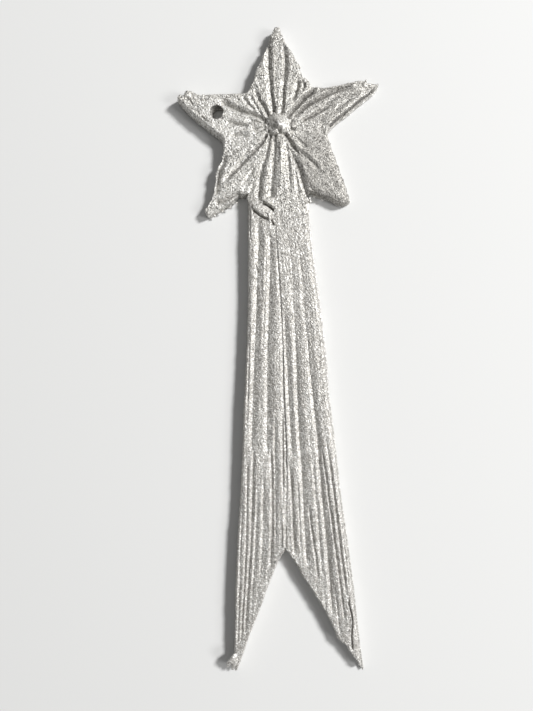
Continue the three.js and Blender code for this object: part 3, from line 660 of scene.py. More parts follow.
def uneven(x, y, seed, amount=1.0):
    """The unevenness of pulp laid by hand."""
    return amount * (0.07 * lumps(x, y, 4.5, seed) + 0.05 * lumps(x, y, 1.8, seed + 1))


def creases(seed, *layers):
    """Fine creases in two sizes, and the sharp dips of a third. Each layer is x, y and a size."""
    wide, narrow, dips = (lumps(*layer, seed + k) for k, layer in enumerate(layers))
    return 0.6 * wide + 0.4 * narrow - 0.35 * np.abs(dips)


def rays(x, y, seed, amount=1.0):
    """Fine creases that run out from the boss."""
    away = np.hypot(x, y)
    turn = np.arctan2(y, x)
    turn = np.where(turn < -1.6, turn + 2 * math.pi, turn)
    scales = ((11.0, 9.0), (26.0, 6.0), (15.0, 8.0))
    layers = [(turn * across, away / along, 1.0) for across, along in scales]
    return amount * 0.16 * creases(seed, *layers) * ramp(away, 2.0, 4.0)


def striae(x, y, seed, amount=1.0):
    """Fine creases that run down the tail and spread with it."""
    middle = np.interp(-y, -seam_line[:, 1], seam_line[:, 0])
    across = (x - middle) / (1 + np.clip(-y - 20.0, 0, 200) * 0.0052)
    scales = ((22.0, 0.85), (16.0, 0.45), (20.0, 0.7))
    layers = [(across, y / along, size) for along, size in scales]
    return amount * 0.1 * creases(seed, *layers)


neck_left_line = traced(NECK_LEFT, NECK_EYE_HEIGHT)
neck_right_line = traced(NECK_RIGHT, NECK_EYE_HEIGHT)
NECK_START = neck_left_line[0][1]  # where the neck comes out of the boss, in mm


def under_neck(x, y):
    """1 well inside the neck's sides and 0 outside them."""
    left, _ = beside(neck_left_line, x, y)
    right, _ = beside(neck_right_line, x, y)
    return smooth(np.minimum(left, -right) / 0.7) * ramp(-y, 0.4 - NECK_START, 1.2)


def about_pellet(x, y):
    """How far a point is from the pellet's middle, in its radii, and in which direction."""
    px, py = seen(*PELLET_PIXEL, 3.0)
    return np.hypot((x - px) / PELLET_RADII[0], (y - py) / PELLET_RADII[1]), np.arctan2(y - py, x - px)


def star_surface(x, y):
    lowered, lifted, shaded = folded([*STAR_FOLDS, NECK_VALLEY], x, y)
    for px, py, radius, height in STAR_BEADS:
        bx, by = seen(px, py, 3.0)
        away = np.hypot(x - bx, y - by) / radius
        lifted = np.maximum(lifted, height * np.clip(1 - away**2, 0, 1))
    away, turned = about_pellet(x, y)
    off_pellet = 1 - np.clip((1 - away) * 5, 0, 1)
    deepest = 0.5 - 0.5 * np.cos(turned - math.radians(PELLET_LIT_FROM))
    crease = PELLET_CREASE * deepest * np.clip(1 - np.abs(away - 1.0) * 3.2, 0, 1)
    lowered = np.maximum(lowered * off_pellet, crease)
    shaded = np.maximum(shaded * off_pellet, crease)
    lifted = np.maximum(lifted, PELLET_HEIGHT * np.clip(1 - away**2, 0, 1))
    texture = uneven(x, y, 11) + rays(x, y, 13, 0.55)
    return star_level(x, y) + lifted - lowered + texture, shaded


def star_tone(x, y):
    """1.25 on the lower right ray, whose skin is made smoother and its colour darker, to -1.4 on the left
    ray, whose colour is made lighter.
    """
    lower_right = 1.25 * ramp(x, 3.5, 3.0) * ramp(-y, -1.2, 4.0)
    right = 0.55 * ramp(x, 3.6, 4.0) * ramp(y, -3.0, 4.0) * ramp(-y, -12.0, 2.0)
    left = 1.4 * ramp(-x, 1.0, 7.0) * ramp(y, -8.0, 5.0) * ramp(-y, -7.0, 3.0)
    lower_left = (0.4 + 0.7 * ramp(-y, 11.0, 4.0)) * ramp(-x, 2.0, 4.0) * ramp(-y, 4.0, 4.0)
    on_pellet = np.clip((1.05 - about_pellet(x, y)[0]) * 5, 0, 1)
    return np.maximum(np.maximum(lower_right, right), on_pellet) - np.maximum(left, lower_left)


def star_height(x, y, rim):
    surface, shaded = star_surface(x, y)
    surface = surface - UNDER_NECK * under_neck(x, y)
    # The left ray's lower side falls in a wider slope, and the lower left ray's left side in a
    # narrower one. The right half's edges are a little flattened.
    low_side = smooth((-y - 0.293 * x) / 2.0) * ramp(-x, 9.0, 3.0) * ramp(y, -4.5, 2.0)
    west_side = smooth((0.627 * y - 0.779 * x) / 2.0) * ramp(-y, 4.0, 3.0) * ramp(-x, 5.0, 3.0)
    shoulder = edge_round(rim, 0.42 + 0.3 * low_side - 0.26 * west_side)
    east = ramp(x, 6.0, 4.0) * ramp(-y, 1.0, 2.0)
    shoulder = shoulder * (1 - 0.2 * east * (1 - edge_round(rim, 1.6, 1.5)))
    from_hole = np.hypot(x - HOLE_PLACE[0], y - HOLE_PLACE[1]) - HOLE_RADIUS
    surface = surface - HOLE_WEAR[0] * np.clip(1 - from_hole / HOLE_WEAR[1], 0, 1) ** 2
    surface = blend(FOOT, surface, shoulder)
    # The ledge below the right ray's face, and the crevice behind it, which gets painted shade
    off, share = beside(ledge_line, x, y)
    by_ledge = smooth((1.6 - np.abs(off)) / 0.4) * smooth(share / 0.06) * smooth((1 - share) / 0.12)
    ledge = FOOT + LEDGE_HEIGHT * smooth(rim / 0.08) - CREVICE_DEPTH * peak(rim, LEDGE_WIDTH, 0.12)
    stepped = blend(ledge, surface, ramp(rim, LEDGE_WIDTH, 0.14))
    painted_shade = np.maximum(np.clip(shaded / FULL_PAINTED_SHADE, 0, 1), 2.0 * by_ledge * peak(rim, 0.4, 0.14))
    return blend(surface, stepped, by_ledge), painted_shade


# Tail

TAIL_LEFT = [
    (248.6, 188), (248, 200), (248, 215), (248, 240), (248, 275), (248, 300), (247, 335), (246, 360),
    (245, 380), (243.6, 410), (243, 430), (241.4, 470), (240.6, 490), (239.2, 515), (238, 530),
    (236.8, 555), (235.4, 590), (235, 620), (234.4, 640), (234, 654), (234.4, 662), (235.4, 667.6),
    (237, 669.4), (238, 668.4),
]
TAIL_RIGHT = [
    (306, 188), (308.4, 200), (309, 215), (311.4, 240), (316, 275), (320, 305), (324, 335), (327, 365),
    (329, 395), (333, 425), (338, 470), (341.4, 500), (346, 530), (350, 560), (354, 590), (357, 620),
    (360, 645), (363, 666.4), (362.8, 669), (361.6, 668.6),
]
NOTCH_LEFT = [
    (285.5, 550), (282.4, 554.6), (279, 560.4), (273, 575), (267, 590), (262, 605), (256, 620), (250, 635),
    (245, 650), (241.4, 660),
]
NOTCH_RIGHT = [
    (285.5, 550), (289, 553.6), (294, 560.4), (302, 575), (312, 590), (321, 605), (326.5, 614),
    (331, 623.6), (335.7, 632.7), (336.9, 638), (341.4, 641.6), (346, 645.2), (348.4, 650.5), (355, 659),
    (358.7, 665.4),
]
SEAM = [
    (273.6, 190), (274.4, 215), (275.6, 236), (278.2, 268), (280.5, 300), (282, 330), (282.8, 352),
    (283.5, 390), (286, 440), (286.6, 480), (286.2, 520), (285.5, 548.6), (285.5, 550),
]
TAIL_EYE_HEIGHT = 2.4  # height at which the seam is traced

LEFT_FOLDS = [
    fold([(252.6, 209.6), (257.6, 213.9), (262, 217.1), (267, 219.6)], 0.7, 0.3, 0.34, ends=(0.1, 0.15)),
    fold([(270.8, 219.4), (272.6, 222), (274.4, 225)], 1.0, 0.3, 0.3, ends=(0.2, 0.15)),
    fold([(262, 202.6), (266.6, 204.3), (270.6, 207.2), (274.8, 210.6)], 1.3, 0.5, 0.5, ends=(0.1, 0.1)),
    fold([(257.6, 218), (258.7, 240), (257.4, 275), (256, 315), (254.4, 355), (253, 395), (251.8, 435),
        (251, 460)], (0.34, 0.38), 0.95, 1.7, ends=(0.05, 0.1)),
    fold([(268.6, 226), (270, 245), (269.7, 275), (268.6, 315), (267.4, 355), (267.4, 395), (267, 435),
        (266, 468)], (0.36, 0.38), 1.0, 1.7, ends=(0.08, 0.12)),
    fold([(256, 264), (257, 269), (258.8, 273.6)], 0.6, 0.25, 0.25, ends=(0.2, 0.2)),
    fold([(249.8, 204), (250, 220), (250, 240)], 0.3, 0.3, 0.3),
    fold([(253.6, 440), (252.8, 475), (250.6, 545), (247.6, 590), (244.6, 640)], (0.42, 0.42, 0.36), 0.5,
        0.7),
    fold([(247.6, 455), (247, 475), (246, 545), (243.4, 600), (240.4, 650)], 0.34, 0.4, 0.5),
    fold([(242.6, 480), (240.6, 545), (239, 600), (237.6, 650)], 0.25, 0.5, 0.4),
    fold([(270, 446), (271.6, 475), (272.2, 515), (271.2, 545), (269.6, 572)], 0.5, 0.55, 0.85,
        ends=(0.1, 0.1)),
    fold([(275, 400), (274.6, 450), (275.4, 500), (275.8, 556)], 0.24, 0.5, 0.8, ends=(0.3, 0.15)),
    fold([(263.6, 470), (263, 515), (262.4, 545), (259, 590)], 0.26, 0.5, 1.2, ends=(0.25, 0.2)),
    fold([(257.6, 470), (256.4, 515), (254.4, 560), (251, 610)], 0.2, 0.4, 0.9, ends=(0.25, 0.2)),
    fold([(282.6, 400), (283, 440), (283.2, 480), (283.4, 506)], 0.42, 0.55, 0.35, ends=(0.25, 0.3)),
    ridge([(281.6, 500), (282.6, 516), (283.2, 532), (283.4, 547)], 0.16, 0.45, 0.3, ends=(0.4, 0)),
    fold([(266.4, 240), (265, 300), (262, 360)], 0.12, 0.5, 0.8),
    fold([(249.8, 242), (249.6, 300), (248.6, 360), (247, 420)], 0.14, 0.3, 0.4),
]
RIGHT_FOLDS = [
    fold([(284.4, 300), (285, 330), (286.6, 355), (288.6, 395), (291, 435), (292.4, 462)], 0.32, 0.8, 1.2,
        ends=(0.25, 0.12)),
    fold([(289.4, 462), (291.4, 484), (293, 520), (294.4, 556)], 0.45, 0.5, 0.7, ends=(0.15, 0.05)),
    fold([(288, 226), (289.4, 240), (292.4, 275), (294.3, 315), (296.2, 355), (297.2, 395), (299.2, 435),
        (302, 475), (305.7, 545), (307.4, 572)], (0.16, 0.12, 0.22, 0.42, 0.46, 0.42, 0.46, 0.42), 0.75,
        1.5, ends=(0.12, 0.05)),
    fold([(298, 238), (302.4, 275), (304.6, 315), (308.8, 355), (312.8, 395), (317, 435), (320.2, 475),
        (326.8, 545), (333.4, 622)], (0.12, 0.14, 0.18, 0.42, 0.54, 0.56, 0.56, 0.5), 0.8, 1.5,
        ends=(0.1, 0.05)),
    fold([(320.4, 440), (323.6, 462), (327, 484), (335, 545), (341.4, 592), (345, 625)], 0.46, 0.42, 0.5,
        ends=(0.12, 0.1)),
    fold([(324.6, 430), (331.6, 475), (340.2, 545), (347.6, 604)], 0.42, 0.42, 0.5, ends=(0.25, 0.2)),
    fold([(335, 470), (344, 540), (351, 600)], 0.26, 0.4, 0.5, ends=(0.3, 0.3)),
    fold([(340.6, 500), (349, 560), (355, 610)], 0.26, 0.4, 0.5, ends=(0.2, 0.2)),
    fold([(307, 496), (309.4, 512), (313, 540), (316.4, 562), (318.4, 582)], 0.4, 0.42, 0.5,
        ends=(0.25, 0.1)),
    fold([(297.6, 480), (299.4, 520), (300.6, 552)], 0.2, 0.35, 0.5),
    fold([(293.6, 330), (300.4, 380), (304.8, 420)], 0.16, 0.6, 0.9, ends=(0.3, 0.3)),
    fold([(310.6, 440), (315, 490), (319.4, 540), (324, 590)], 0.2, 0.4, 0.8, ends=(0.3, 0.2)),
    fold([(330, 560), (336, 600), (341, 640)], 0.24, 0.35, 0.5, ends=(0.25, 0.2)),
    fold([(349, 592), (348.5, 603), (351, 612), (352.5, 620), (351.5, 637), (352.5, 650)], (0.7, 1.2), 0.26,
        0.26, ends=(0.2, 0.05), height=2.2),
    fold([(305.8, 206), (306.6, 220), (308.6, 238)], 0.3, 0.3, 0.3),
]
# Slopes along the tail's right edge and along both sides of the seam
RIGHT_EDGE = [
    (309.6, 200), (312.4, 240), (317, 275), (321, 305), (325, 335), (328, 365), (330, 395), (334, 425),
    (339, 470), (342.4, 500), (347, 530), (351, 560), (355, 590), (358, 620), (361, 645), (364, 668),
]
RIGHT_SLOPE = fold(RIGHT_EDGE, 0.75, 1.5, 1.0, height=2.2, ends=(0, 0), shape=1.7)
SEAM_EDGE = [
    (274.4, 205), (275.8, 236), (278.4, 268), (280.7, 300), (282.2, 330), (283, 352), (283.6, 390),
    (286, 440), (286.6, 480), (286.2, 520), (285.5, 552),
]
SEAM_SLOPE = fold(SEAM_EDGE, (0, 0.2, 0.34, 0.38, 0.16, 0.0), 0.7, 1.0, height=2.6, ends=(0, 0), shape=1.3)
SEAM_WALL = fold(SEAM_EDGE, (0, 0.2, 0.3, 0.26, 0.16, 0.18), 0.3, 0.3, height=2.6, ends=(0, 0))

seam_line = traced(SEAM, TAIL_EYE_HEIGHT)
lip_line = traced([*NECK_LIP, *NECK_LIP_END], NECK_EYE_HEIGHT)
melt_line = traced([*NECK_LIP_END, *NECK_MELT[:-1]], NECK_EYE_HEIGHT)


def past_line(line, x, y):
    """How far a point is below a line that runs from left to right."""
    return np.interp(x, line[:, 0], line[:, 1]) - y


def tail_level(x, y, folds):
    lowered, lifted, shaded = folded(folds, x, y)
    texture = uneven(x, y, 23, 0.6) + striae(x, y, 27, 0.7 + 0.6 * ramp(-y, 70.0, 20.0))
    return TAIL_TOP + lifted - lowered + texture, shaded


def tail_painted_sheen(x, y):
    """A painted sheen: the colour gets lighter down the tail."""
    return -0.5 * ramp(-y, 55.0, 25.0)


def tail_height(surface, shaded, y, rim, tucked, radius):
    """The tail sinks where it is tucked under the neck and, a little, towards its tips."""
    surface = surface - 1.2 * tucked - 0.5 * ramp(-y, 112.0, 16.0)
    # The second value is painted shade on the shaded slopes of the folds.
    return blend(FOOT, surface, edge_round(rim, radius)), np.clip(shaded / FULL_PAINTED_SHADE, 0, 1)


def left_height(x, y, rim):
    tucked = smooth((0.1 - past_line(lip_line, x, y)) / 0.8)
    return tail_height(*tail_level(x, y, [*LEFT_FOLDS, SEAM_SLOPE]), y, rim, tucked, 0.5)


def right_surface(x, y):
    return tail_level(x, y, [*RIGHT_FOLDS, RIGHT_SLOPE, SEAM_WALL])


def right_height(x, y, rim):
    tucked = smooth((-0.3 - past_line(melt_line, x, y)) / 1.5)
    return tail_height(*right_surface(x, y), y, rim, tucked, 0.45)


def neck_height(x, y, rim):
    """The fan lies over the star and the streamers, and only its right side and its lip stand free."""
    lowered, lifted, shaded = folded(NECK_FOLDS, x, y)
    level = NECK_TOP - 0.35 * ramp(-y, 10.0, 8.0)
    pleats = level + lifted - lowered + uneven(x, y, 31, 0.5) + 0.6 * rays(x, y, 33)
    star, _ = star_surface(x, y)
    tail, tail_shaded = right_surface(x, y)
    # Its left side melts into the star, and its foot into the right streamer.
    to_left, _ = beside(neck_left_line, x, y)
    surface = blend(star - 0.05, pleats, smooth(to_left / (0.5 + 1.7 * ramp(-y, -NECK_START, 6.0))))
    to_melt = np.where(x > melt_line[0][0], -past_line(melt_line, x, y), 9.0)
    from_tail = smooth(to_melt / 3.5)
    surface = blend(tail - 0.06, surface, from_tail)
    # Its right side falls to the star, and its top end goes under the boss.
    to_right, _ = beside(neck_right_line, x, y)
    free = np.maximum(np.clip(-to_right / 1.15, 0, 1) ** 0.8, ramp(-y, 15.9, 1.6))
    surface = blend(star - 0.12, surface, np.where(x > 0, free, 1.0))
    surface = blend(star - 0.5, surface, ramp(-y, -0.3 - NECK_START, 1.0))
    # Its lip has a raised crest and a rounded edge.
    on_lip, share = beside(lip_line, x, y)
    on_lip = np.abs(on_lip)
    surface = surface + 0.5 * peak(on_lip, 0.34, 0.5) * ramp(share, 0.3, 0.3) * smooth((1 - share) / 0.08)
    on_edge = (x < lip_line[-1][0] + 0.1) & (on_lip < LIP_ROUND)
    surface = blend(LIP_FOOT, surface, np.where(on_edge, edge_round(on_lip, LIP_ROUND), 1.0))
    # Painted shade on the shaded slopes of the fan's folds, and of the streamer's where the fan melts into
    # it.
    painted_shade = np.maximum(shaded, tail_shaded * (1 - from_tail)) / FULL_PAINTED_SHADE
    return surface, np.clip(painted_shade, 0, 1)


def neck_tone(x, y):
    """-1 along the torn lip, whose colour is made lighter."""
    on_lip, share = beside(lip_line, x, y)
    return -np.clip(1.8 - 1.8 * np.abs(np.abs(on_lip) - 0.45) / 0.85, 0, 1) * ramp(share, 0.28, 0.3)


# Boss: heights given at places of the mound, each a pixel and mm, and a plate bent through them

MOUND_ROUND = 0.3  # width of the rounded edge of the boss and of the flake
BOSS_FOOT = 2.7
BOSS_UNSHADED_FROM = 3.6  # height from which the boss gets no painted shade
PLATE_GIVE = 0.02  # how loosely a bent plate follows its heights
BOSS_OUTLINE = [
    (274.4, 111.6), (277.6, 115), (283, 117), (288, 117.4), (291.4, 120.6), (291.4, 127), (289, 131.4),
    (284, 134), (279.4, 134.4), (274, 135), (269, 134), (266, 128.4), (265.6, 122), (267, 118),
    (270.4, 115.4),
]
BOSS_HEIGHTS = [
    (267, 121, 3.2), (266.6, 126, 3.15), (268, 130.6, 3.3), (270.5, 134, 3.2), (271, 117.6, 3.5),
    (271, 121, 3.7), (271, 124.6, 3.7), (271.4, 128, 3.5), (271.6, 131.6, 3.75), (274, 114.4, 3.6),
    (275, 118, 4.1), (275, 121.4, 4.25), (275, 124.8, 4.2), (275, 128, 3.9), (274.6, 131.8, 3.9),
    (276.8, 130.6, 3.95), (278, 116.6, 3.8), (278.6, 120, 4.5), (279.4, 123.4, 4.8), (278.8, 126.4, 4.6),
    (278.8, 129.4, 3.6), (279, 131.6, 3.3), (279, 133.6, 3.4), (281.4, 118.6, 3.95), (283, 122.4, 4.4),
    (282.4, 127, 4.45), (281.8, 130.6, 4.1), (283, 133.2, 3.5), (286, 118.8, 3.45), (286.8, 122.6, 3.8),
    (286.8, 128, 3.75), (286.6, 131.6, 3.45), (290, 121.4, 3.1), (290.6, 124.6, 3.05), (290, 129, 3.1),
]


def bent_plate(heights, x, y):
    """Heights of a thin springy plate that passes close to the heights at their pixels."""
    spots = np.array([(*seen(px, py, z), z) for px, py, z in heights])

    def pull(ax, ay, bx, by):
        away = (ax[:, None] - bx) ** 2 + (ay[:, None] - by) ** 2
        return away * np.log(away + 1e-9)

    count = len(spots)
    flat = np.stack([np.ones(count), spots[:, 0], spots[:, 1]], axis=1)
    system = np.zeros((count + 3, count + 3))
    system[:count, :count] = pull(spots[:, 0], spots[:, 1], spots[:, 0], spots[:, 1])
    system[:count, :count] += PLATE_GIVE * np.eye(count)
    system[:count, count:] = flat
    system[count:, :count] = flat.T
    parts = np.linalg.solve(system, np.concatenate([spots[:, 2], np.zeros(3)]))
    bend = pull(x, y, spots[:, 0], spots[:, 1]) @ parts[:count]
    return bend + parts[count] + parts[count + 1] * x + parts[count + 2] * y


def boss_painted_light(x, y):
    """The boss is smoother and darker on its left, a painted shade, and lighter on its right, a painted
    highlight, and on its lowest lobe.
    """
    middle, _ = seen(278.0, 126.0, 4.7)
    px, py = seen(272.8, 131.4, 3.8)
    on_lobe = np.clip(1.6 - np.hypot(x - px, y - py) / 0.6, 0, 1)
    return 0.35 - 1.35 * np.maximum(ramp(x, middle - 0.2, 0.6), 0.8 * on_lobe)


def boss_height(x, y, rim):
    surface = bent_plate(BOSS_HEIGHTS, x, y)
    # Painted shade: the boss darkens towards its foot, where it meets the star.
    painted_shade = np.clip((BOSS_UNSHADED_FROM - surface) / 0.8, 0, 1)
    return blend(BOSS_FOOT, surface, edge_round(rim, MOUND_ROUND)), painted_shade


# Flake: a lens of pulp under the lip of the fan

FLAKE_FOOT = 2.75
FLAKE_PAINTED_SHADE = 0.2  # depth of a crease of the flake that gets the full painted shade
FLAKE_OUTLINE = [
    (252.4, 203.8), (255, 202.9), (259, 202.4), (262.6, 203.6), (266.4, 205.6), (269.4, 207.9),
    (272, 210.4), (273.2, 212.4), (271.8, 214.2), (269.8, 216.6), (267.2, 217.8), (264.4, 217),
    (261, 214.8), (257.6, 212.2), (254.8, 209.8), (252.6, 208.4), (251.6, 206),
]
FLAKE_HEIGHTS = [
    (252.4, 206, 3.2), (254.6, 204.4, 3.2), (255, 208, 3.4), (258, 203.6, 3.15), (257.6, 207.4, 3.5),
    (258.6, 211.4, 3.45), (262.4, 204.8, 3.15), (262.6, 208.4, 3.45), (262.4, 213.4, 3.45),
    (266.4, 207.2, 3.1), (266.4, 211.2, 3.45), (266.4, 215.4, 3.45), (269.6, 209.6, 3.05),
    (270, 212.8, 3.35), (269, 215.8, 3.35), (272.4, 212.4, 3.15),
]
FLAKE_CREASES = [
    fold([(256, 206.4), (262, 208.4), (268, 211.6), (272, 212.8)], 0.12, 0.25, 0.25, height=3.5),
    fold([(263.6, 212.8), (267.4, 213.6), (271, 213.4)], 0.16, 0.2, 0.3, height=3.5),
    fold([(266.4, 214.4), (268.6, 216.6)], 0.16, 0.2, 0.2, height=3.4),
]


# The flake's colour is made lighter all over.
def flake_tone(x, y):
    return np.full(x.shape, -0.55)


def flake_height(x, y, rim):
    lowered, _, _ = folded(FLAKE_CREASES, x, y)
    surface = bent_plate(FLAKE_HEIGHTS, x, y) - lowered + 0.05 * lumps(x, y, 0.6, 77)
    # The flake's creases get painted shade.
    return blend(FLAKE_FOOT, surface, edge_round(rim, MOUND_ROUND)), lowered / FLAKE_PAINTED_SHADE


# Strands: bent, tapering bodies with an oval section

def strand(name, spine, sides, steps=8):
    """spine has a row for each section: x, y, z, half width, half thickness and roll in degrees."""
    spine = np.array(spine, float)
    count = steps * (len(spine) - 1) + 1
    at = np.linspace(0, len(spine) - 1, count)
    rows = np.stack([np.interp(at, np.arange(len(spine)), column) for column in spine.T], axis=1)
    for _ in range(6):
        rows[1:-1] = (rows[:-2] + 2 * rows[1:-1] + rows[2:]) / 4
    centre = rows[:, :3]
    wide, thick = rows[:, 3:4], rows[:, 4:5]
    roll = np.radians(rows[:, 5:6])
    ahead = np.gradient(centre, axis=0)
    ahead /= np.linalg.norm(ahead, axis=1)[:, None]
    across = np.cross(np.array([0, 0, 1.0]), ahead)
    across /= np.linalg.norm(across, axis=1)[:, None]
    up = np.cross(ahead, across)
    side = across * np.cos(roll) + up * np.sin(roll)
    top = up * np.cos(roll) - across * np.sin(roll)
    turns = [2 * math.pi * k / sides for k in range(sides)]
    points = [centre + side * (wide * math.cos(t)) + top * (thick * math.sin(t)) for t in turns]
    rings = np.stack(points, axis=1)
    vertices = np.vstack([rings.reshape(-1, 3), rings[0].mean(0), rings[-1].mean(0)])
    faces = []
    for i in range(count - 1):
        for k in range(sides):
            a, b = i * sides + k, i * sides + (k + 1) % sides
            faces += [(a, b, b + sides), (a, b + sides, a + sides)]
    last = (count - 1) * sides
    for k in range(sides):
        after = (k + 1) % sides
        faces += [(len(vertices) - 2, after, k), (len(vertices) - 1, last + k, last + after)]
    piece = mesh_piece(name, vertices, np.array(faces))
    # Strands get no painted shade, and a lighter tone that is a painted highlight.
    for attribute, value in (("loose", 1.0), ("groove", 0.0), ("rim", 0.5), ("tone_and_painted_light", -0.8)):
        add_attribute(piece, attribute, np.full(len(vertices), value))
    return piece


# Node trees

SOCKETS = {float: "NodeSocketFloat", int: "NodeSocketInt", tuple: "NodeSocketColor"}


class Tree:
    """A node tree, with short names for the steps that recur."""

    def __init__(self, tree):
        self.tree = tree

    def node(self, kind, inputs=None, **settings):
        made = self.tree.nodes.new(kind)
        for name, value in settings.items():
            setattr(made, name, value)
        for key, value in (inputs or {}).items():
            if isinstance(value, bpy.types.NodeSocket):
                self.tree.links.new(value, made.inputs[key])
            else:
                made.inputs[key].default_value = value
        return made

    def out(self, kind, inputs=None, **settings):
        """The first output of a new node."""
        return self.node(kind, inputs, **settings).outputs[0]

    def calc(self, operation, *values, clamp=False):
        return self.out("ShaderNodeMath", dict(enumerate(values)), operation=operation, use_clamp=clamp)

    def add(self, a, b, clamp=False):
        return self.calc("ADD", a, b, clamp=clamp)

    def times(self, a, b, clamp=False):
        return self.calc("MULTIPLY", a, b, clamp=clamp)

    def less(self, a, b):
        return self.calc("SUBTRACT", a, b)

    def remap(self, value, low, high, to_low=0.0, to_high=1.0, smoothly=True):
        inputs = {"Value": value, "From Min": low, "From Max": high, "To Min": to_low, "To Max": to_high}
        kind = "SMOOTHSTEP" if smoothly else "LINEAR"
        return self.out("ShaderNodeMapRange", inputs, interpolation_type=kind)

    def noise(self, place, size, seed, detail=2.0, rough=0.5):
        """Noise in lumps of a size in metres, from 0 to 1."""
        scale = self.calc("DIVIDE", 1.0, size)
        inputs = {"Vector": place, "W": seed, "Scale": scale, "Detail": detail, "Roughness": rough}
        return self.out("ShaderNodeTexNoise", inputs, noise_dimensions="4D")

    def attribute(self, name):
        return self.out("GeometryNodeInputNamedAttribute", {"Name": name}, data_type="FLOAT")

    def random(self, kind, low, high, seed=0):
        made = self.node("FunctionNodeRandomValue", {"Seed": seed}, data_type=kind)
        for socket in made.inputs:
            if socket.enabled and socket.name in ("Min", "Max"):
                socket.default_value = low if socket.name == "Min" else high
        return next(socket for socket in made.outputs if socket.enabled)


class Group(Tree):
    """A node group. inputs has each input's value, or its kind of socket, and outputs the kinds."""

    def __init__(self, name, kind, inputs, outputs):
        super().__init__(bpy.data.node_groups.new(name, kind))
        for label, value in inputs.items():
            bare = isinstance(value, str)
            socket = value if bare else SOCKETS[type(value)]
            made = self.tree.interface.new_socket(label, in_out="INPUT", socket_type=socket)
            if not bare:
                made.default_value = value
        for label, socket in outputs.items():
            self.tree.interface.new_socket(label, in_out="OUTPUT", socket_type=socket)
        self.given = self.tree.nodes.new("NodeGroupInput").outputs
        self.made = self.tree.nodes.new("NodeGroupOutput").inputs

    def end(self, **results):
        """Leads the results to the outputs of the same names."""
        for label, value in results.items():
            self.tree.links.new(value, self.made[label])
        return self.tree


class GeometryGroup(Group):
    """Geometry nodes that make a painted mesh from a geometry."""

    def __init__(self, name, inputs):
        geometry = {"Geometry": "NodeSocketGeometry"}
        super().__init__(name, "GeometryNodeTree", {**geometry, **inputs, "Paint": "NodeSocketMaterial"},
                         geometry)

    def end_painted(self, geometry):
        whole = self.out("GeometryNodeRealizeInstances", {"Geometry": geometry})
        inputs = {"Geometry": whole, "Material": self.given["Paint"]}
        return self.end(Geometry=self.out("GeometryNodeSetMaterial", inputs))

    def scatter(self, shape, density, scale, others):
        """Copies of a shape strewn over the geometry, turned with its surface if others says no more."""
        inputs = {"Mesh": self.given["Geometry"], "Seed": self.given["Seed"], "Density": density}
        points = self.node("GeometryNodeDistributePointsOnFaces", inputs).outputs
        inputs = {"Points": points["Points"], "Rotation": points["Rotation"], "Instance": shape,
                  "Scale": scale}
        return self.out("GeometryNodeInstanceOnPoints", inputs | others)


SKIN_SIZES = {
    "Lump Size": 0.0009,
    "Lump Height": 0.000035,
    "Nap Size": 0.0005,
    "Nap Height": 0.00007,
    "Grit Size": 0.00026,
    "Grit Height": 0.00006,
}


def skin_tree():
    """Geometry nodes: the crumbly skin of painted paper pulp, pushed out of a moulded surface."""
    group = GeometryGroup("pulp_skin", {**SKIN_SIZES, "Seed": 1.0})
    given, add, times, less, remap = group.given, group.add, group.times, group.less, group.remap
    place = group.out("GeometryNodeInputPosition")
    seed = given["Seed"]
    lump = group.noise(place, given["Lump Size"], seed)
    nap = group.noise(place, given["Nap Size"], add(seed, 3.3), detail=1.0)
    crest = remap(group.calc("ABSOLUTE", less(nap, 0.5)), 0.0, 0.075, 1.0, 0.0)
    patches = group.noise(place, times(given["Nap Size"], 1.7), add(seed, 9.1), detail=0.0)
    fleck = times(crest, remap(patches, 0.42, 0.58))
    grit = group.noise(place, given["Grit Size"], add(seed, 5.7), detail=1.0)
    rise = times(less(lump, 0.5), times(given["Lump Height"], 4.0))
    rise = add(rise, times(fleck, given["Nap Height"]))
    rise = add(rise, times(less(grit, 0.5), times(given["Grit Height"], 4.0)))
    rough = times(group.attribute("loose"), remap(group.attribute("tone_and_painted_light"), 0.0, 1.0, 1.0, 0.5, False))
    rough = times(rough, remap(group.attribute("groove"), 0.3, 1.2, 1.0, 0.4))
    normal = group.out("GeometryNodeInputNormal")
    offset = group.out("ShaderNodeVectorMath", {0: normal, "Scale": times(rise, rough)}, operation="SCALE")
    skin = group.out("GeometryNodeSetPosition", {"Geometry": given["Geometry"], "Offset": offset})
    # fleck marks the crests of the nap and grit the height of the fine bumps; the paint lightens their tops
    # and darkens their hollows, partly as painted light and shade.
    for name, value in (("fleck", fleck), ("grit", grit)):
        inputs = {"Geometry": skin, "Name": name, "Value": value}
        skin = group.out("GeometryNodeStoreNamedAttribute", inputs, data_type="FLOAT", domain="POINT")
    return group.end_painted(skin)


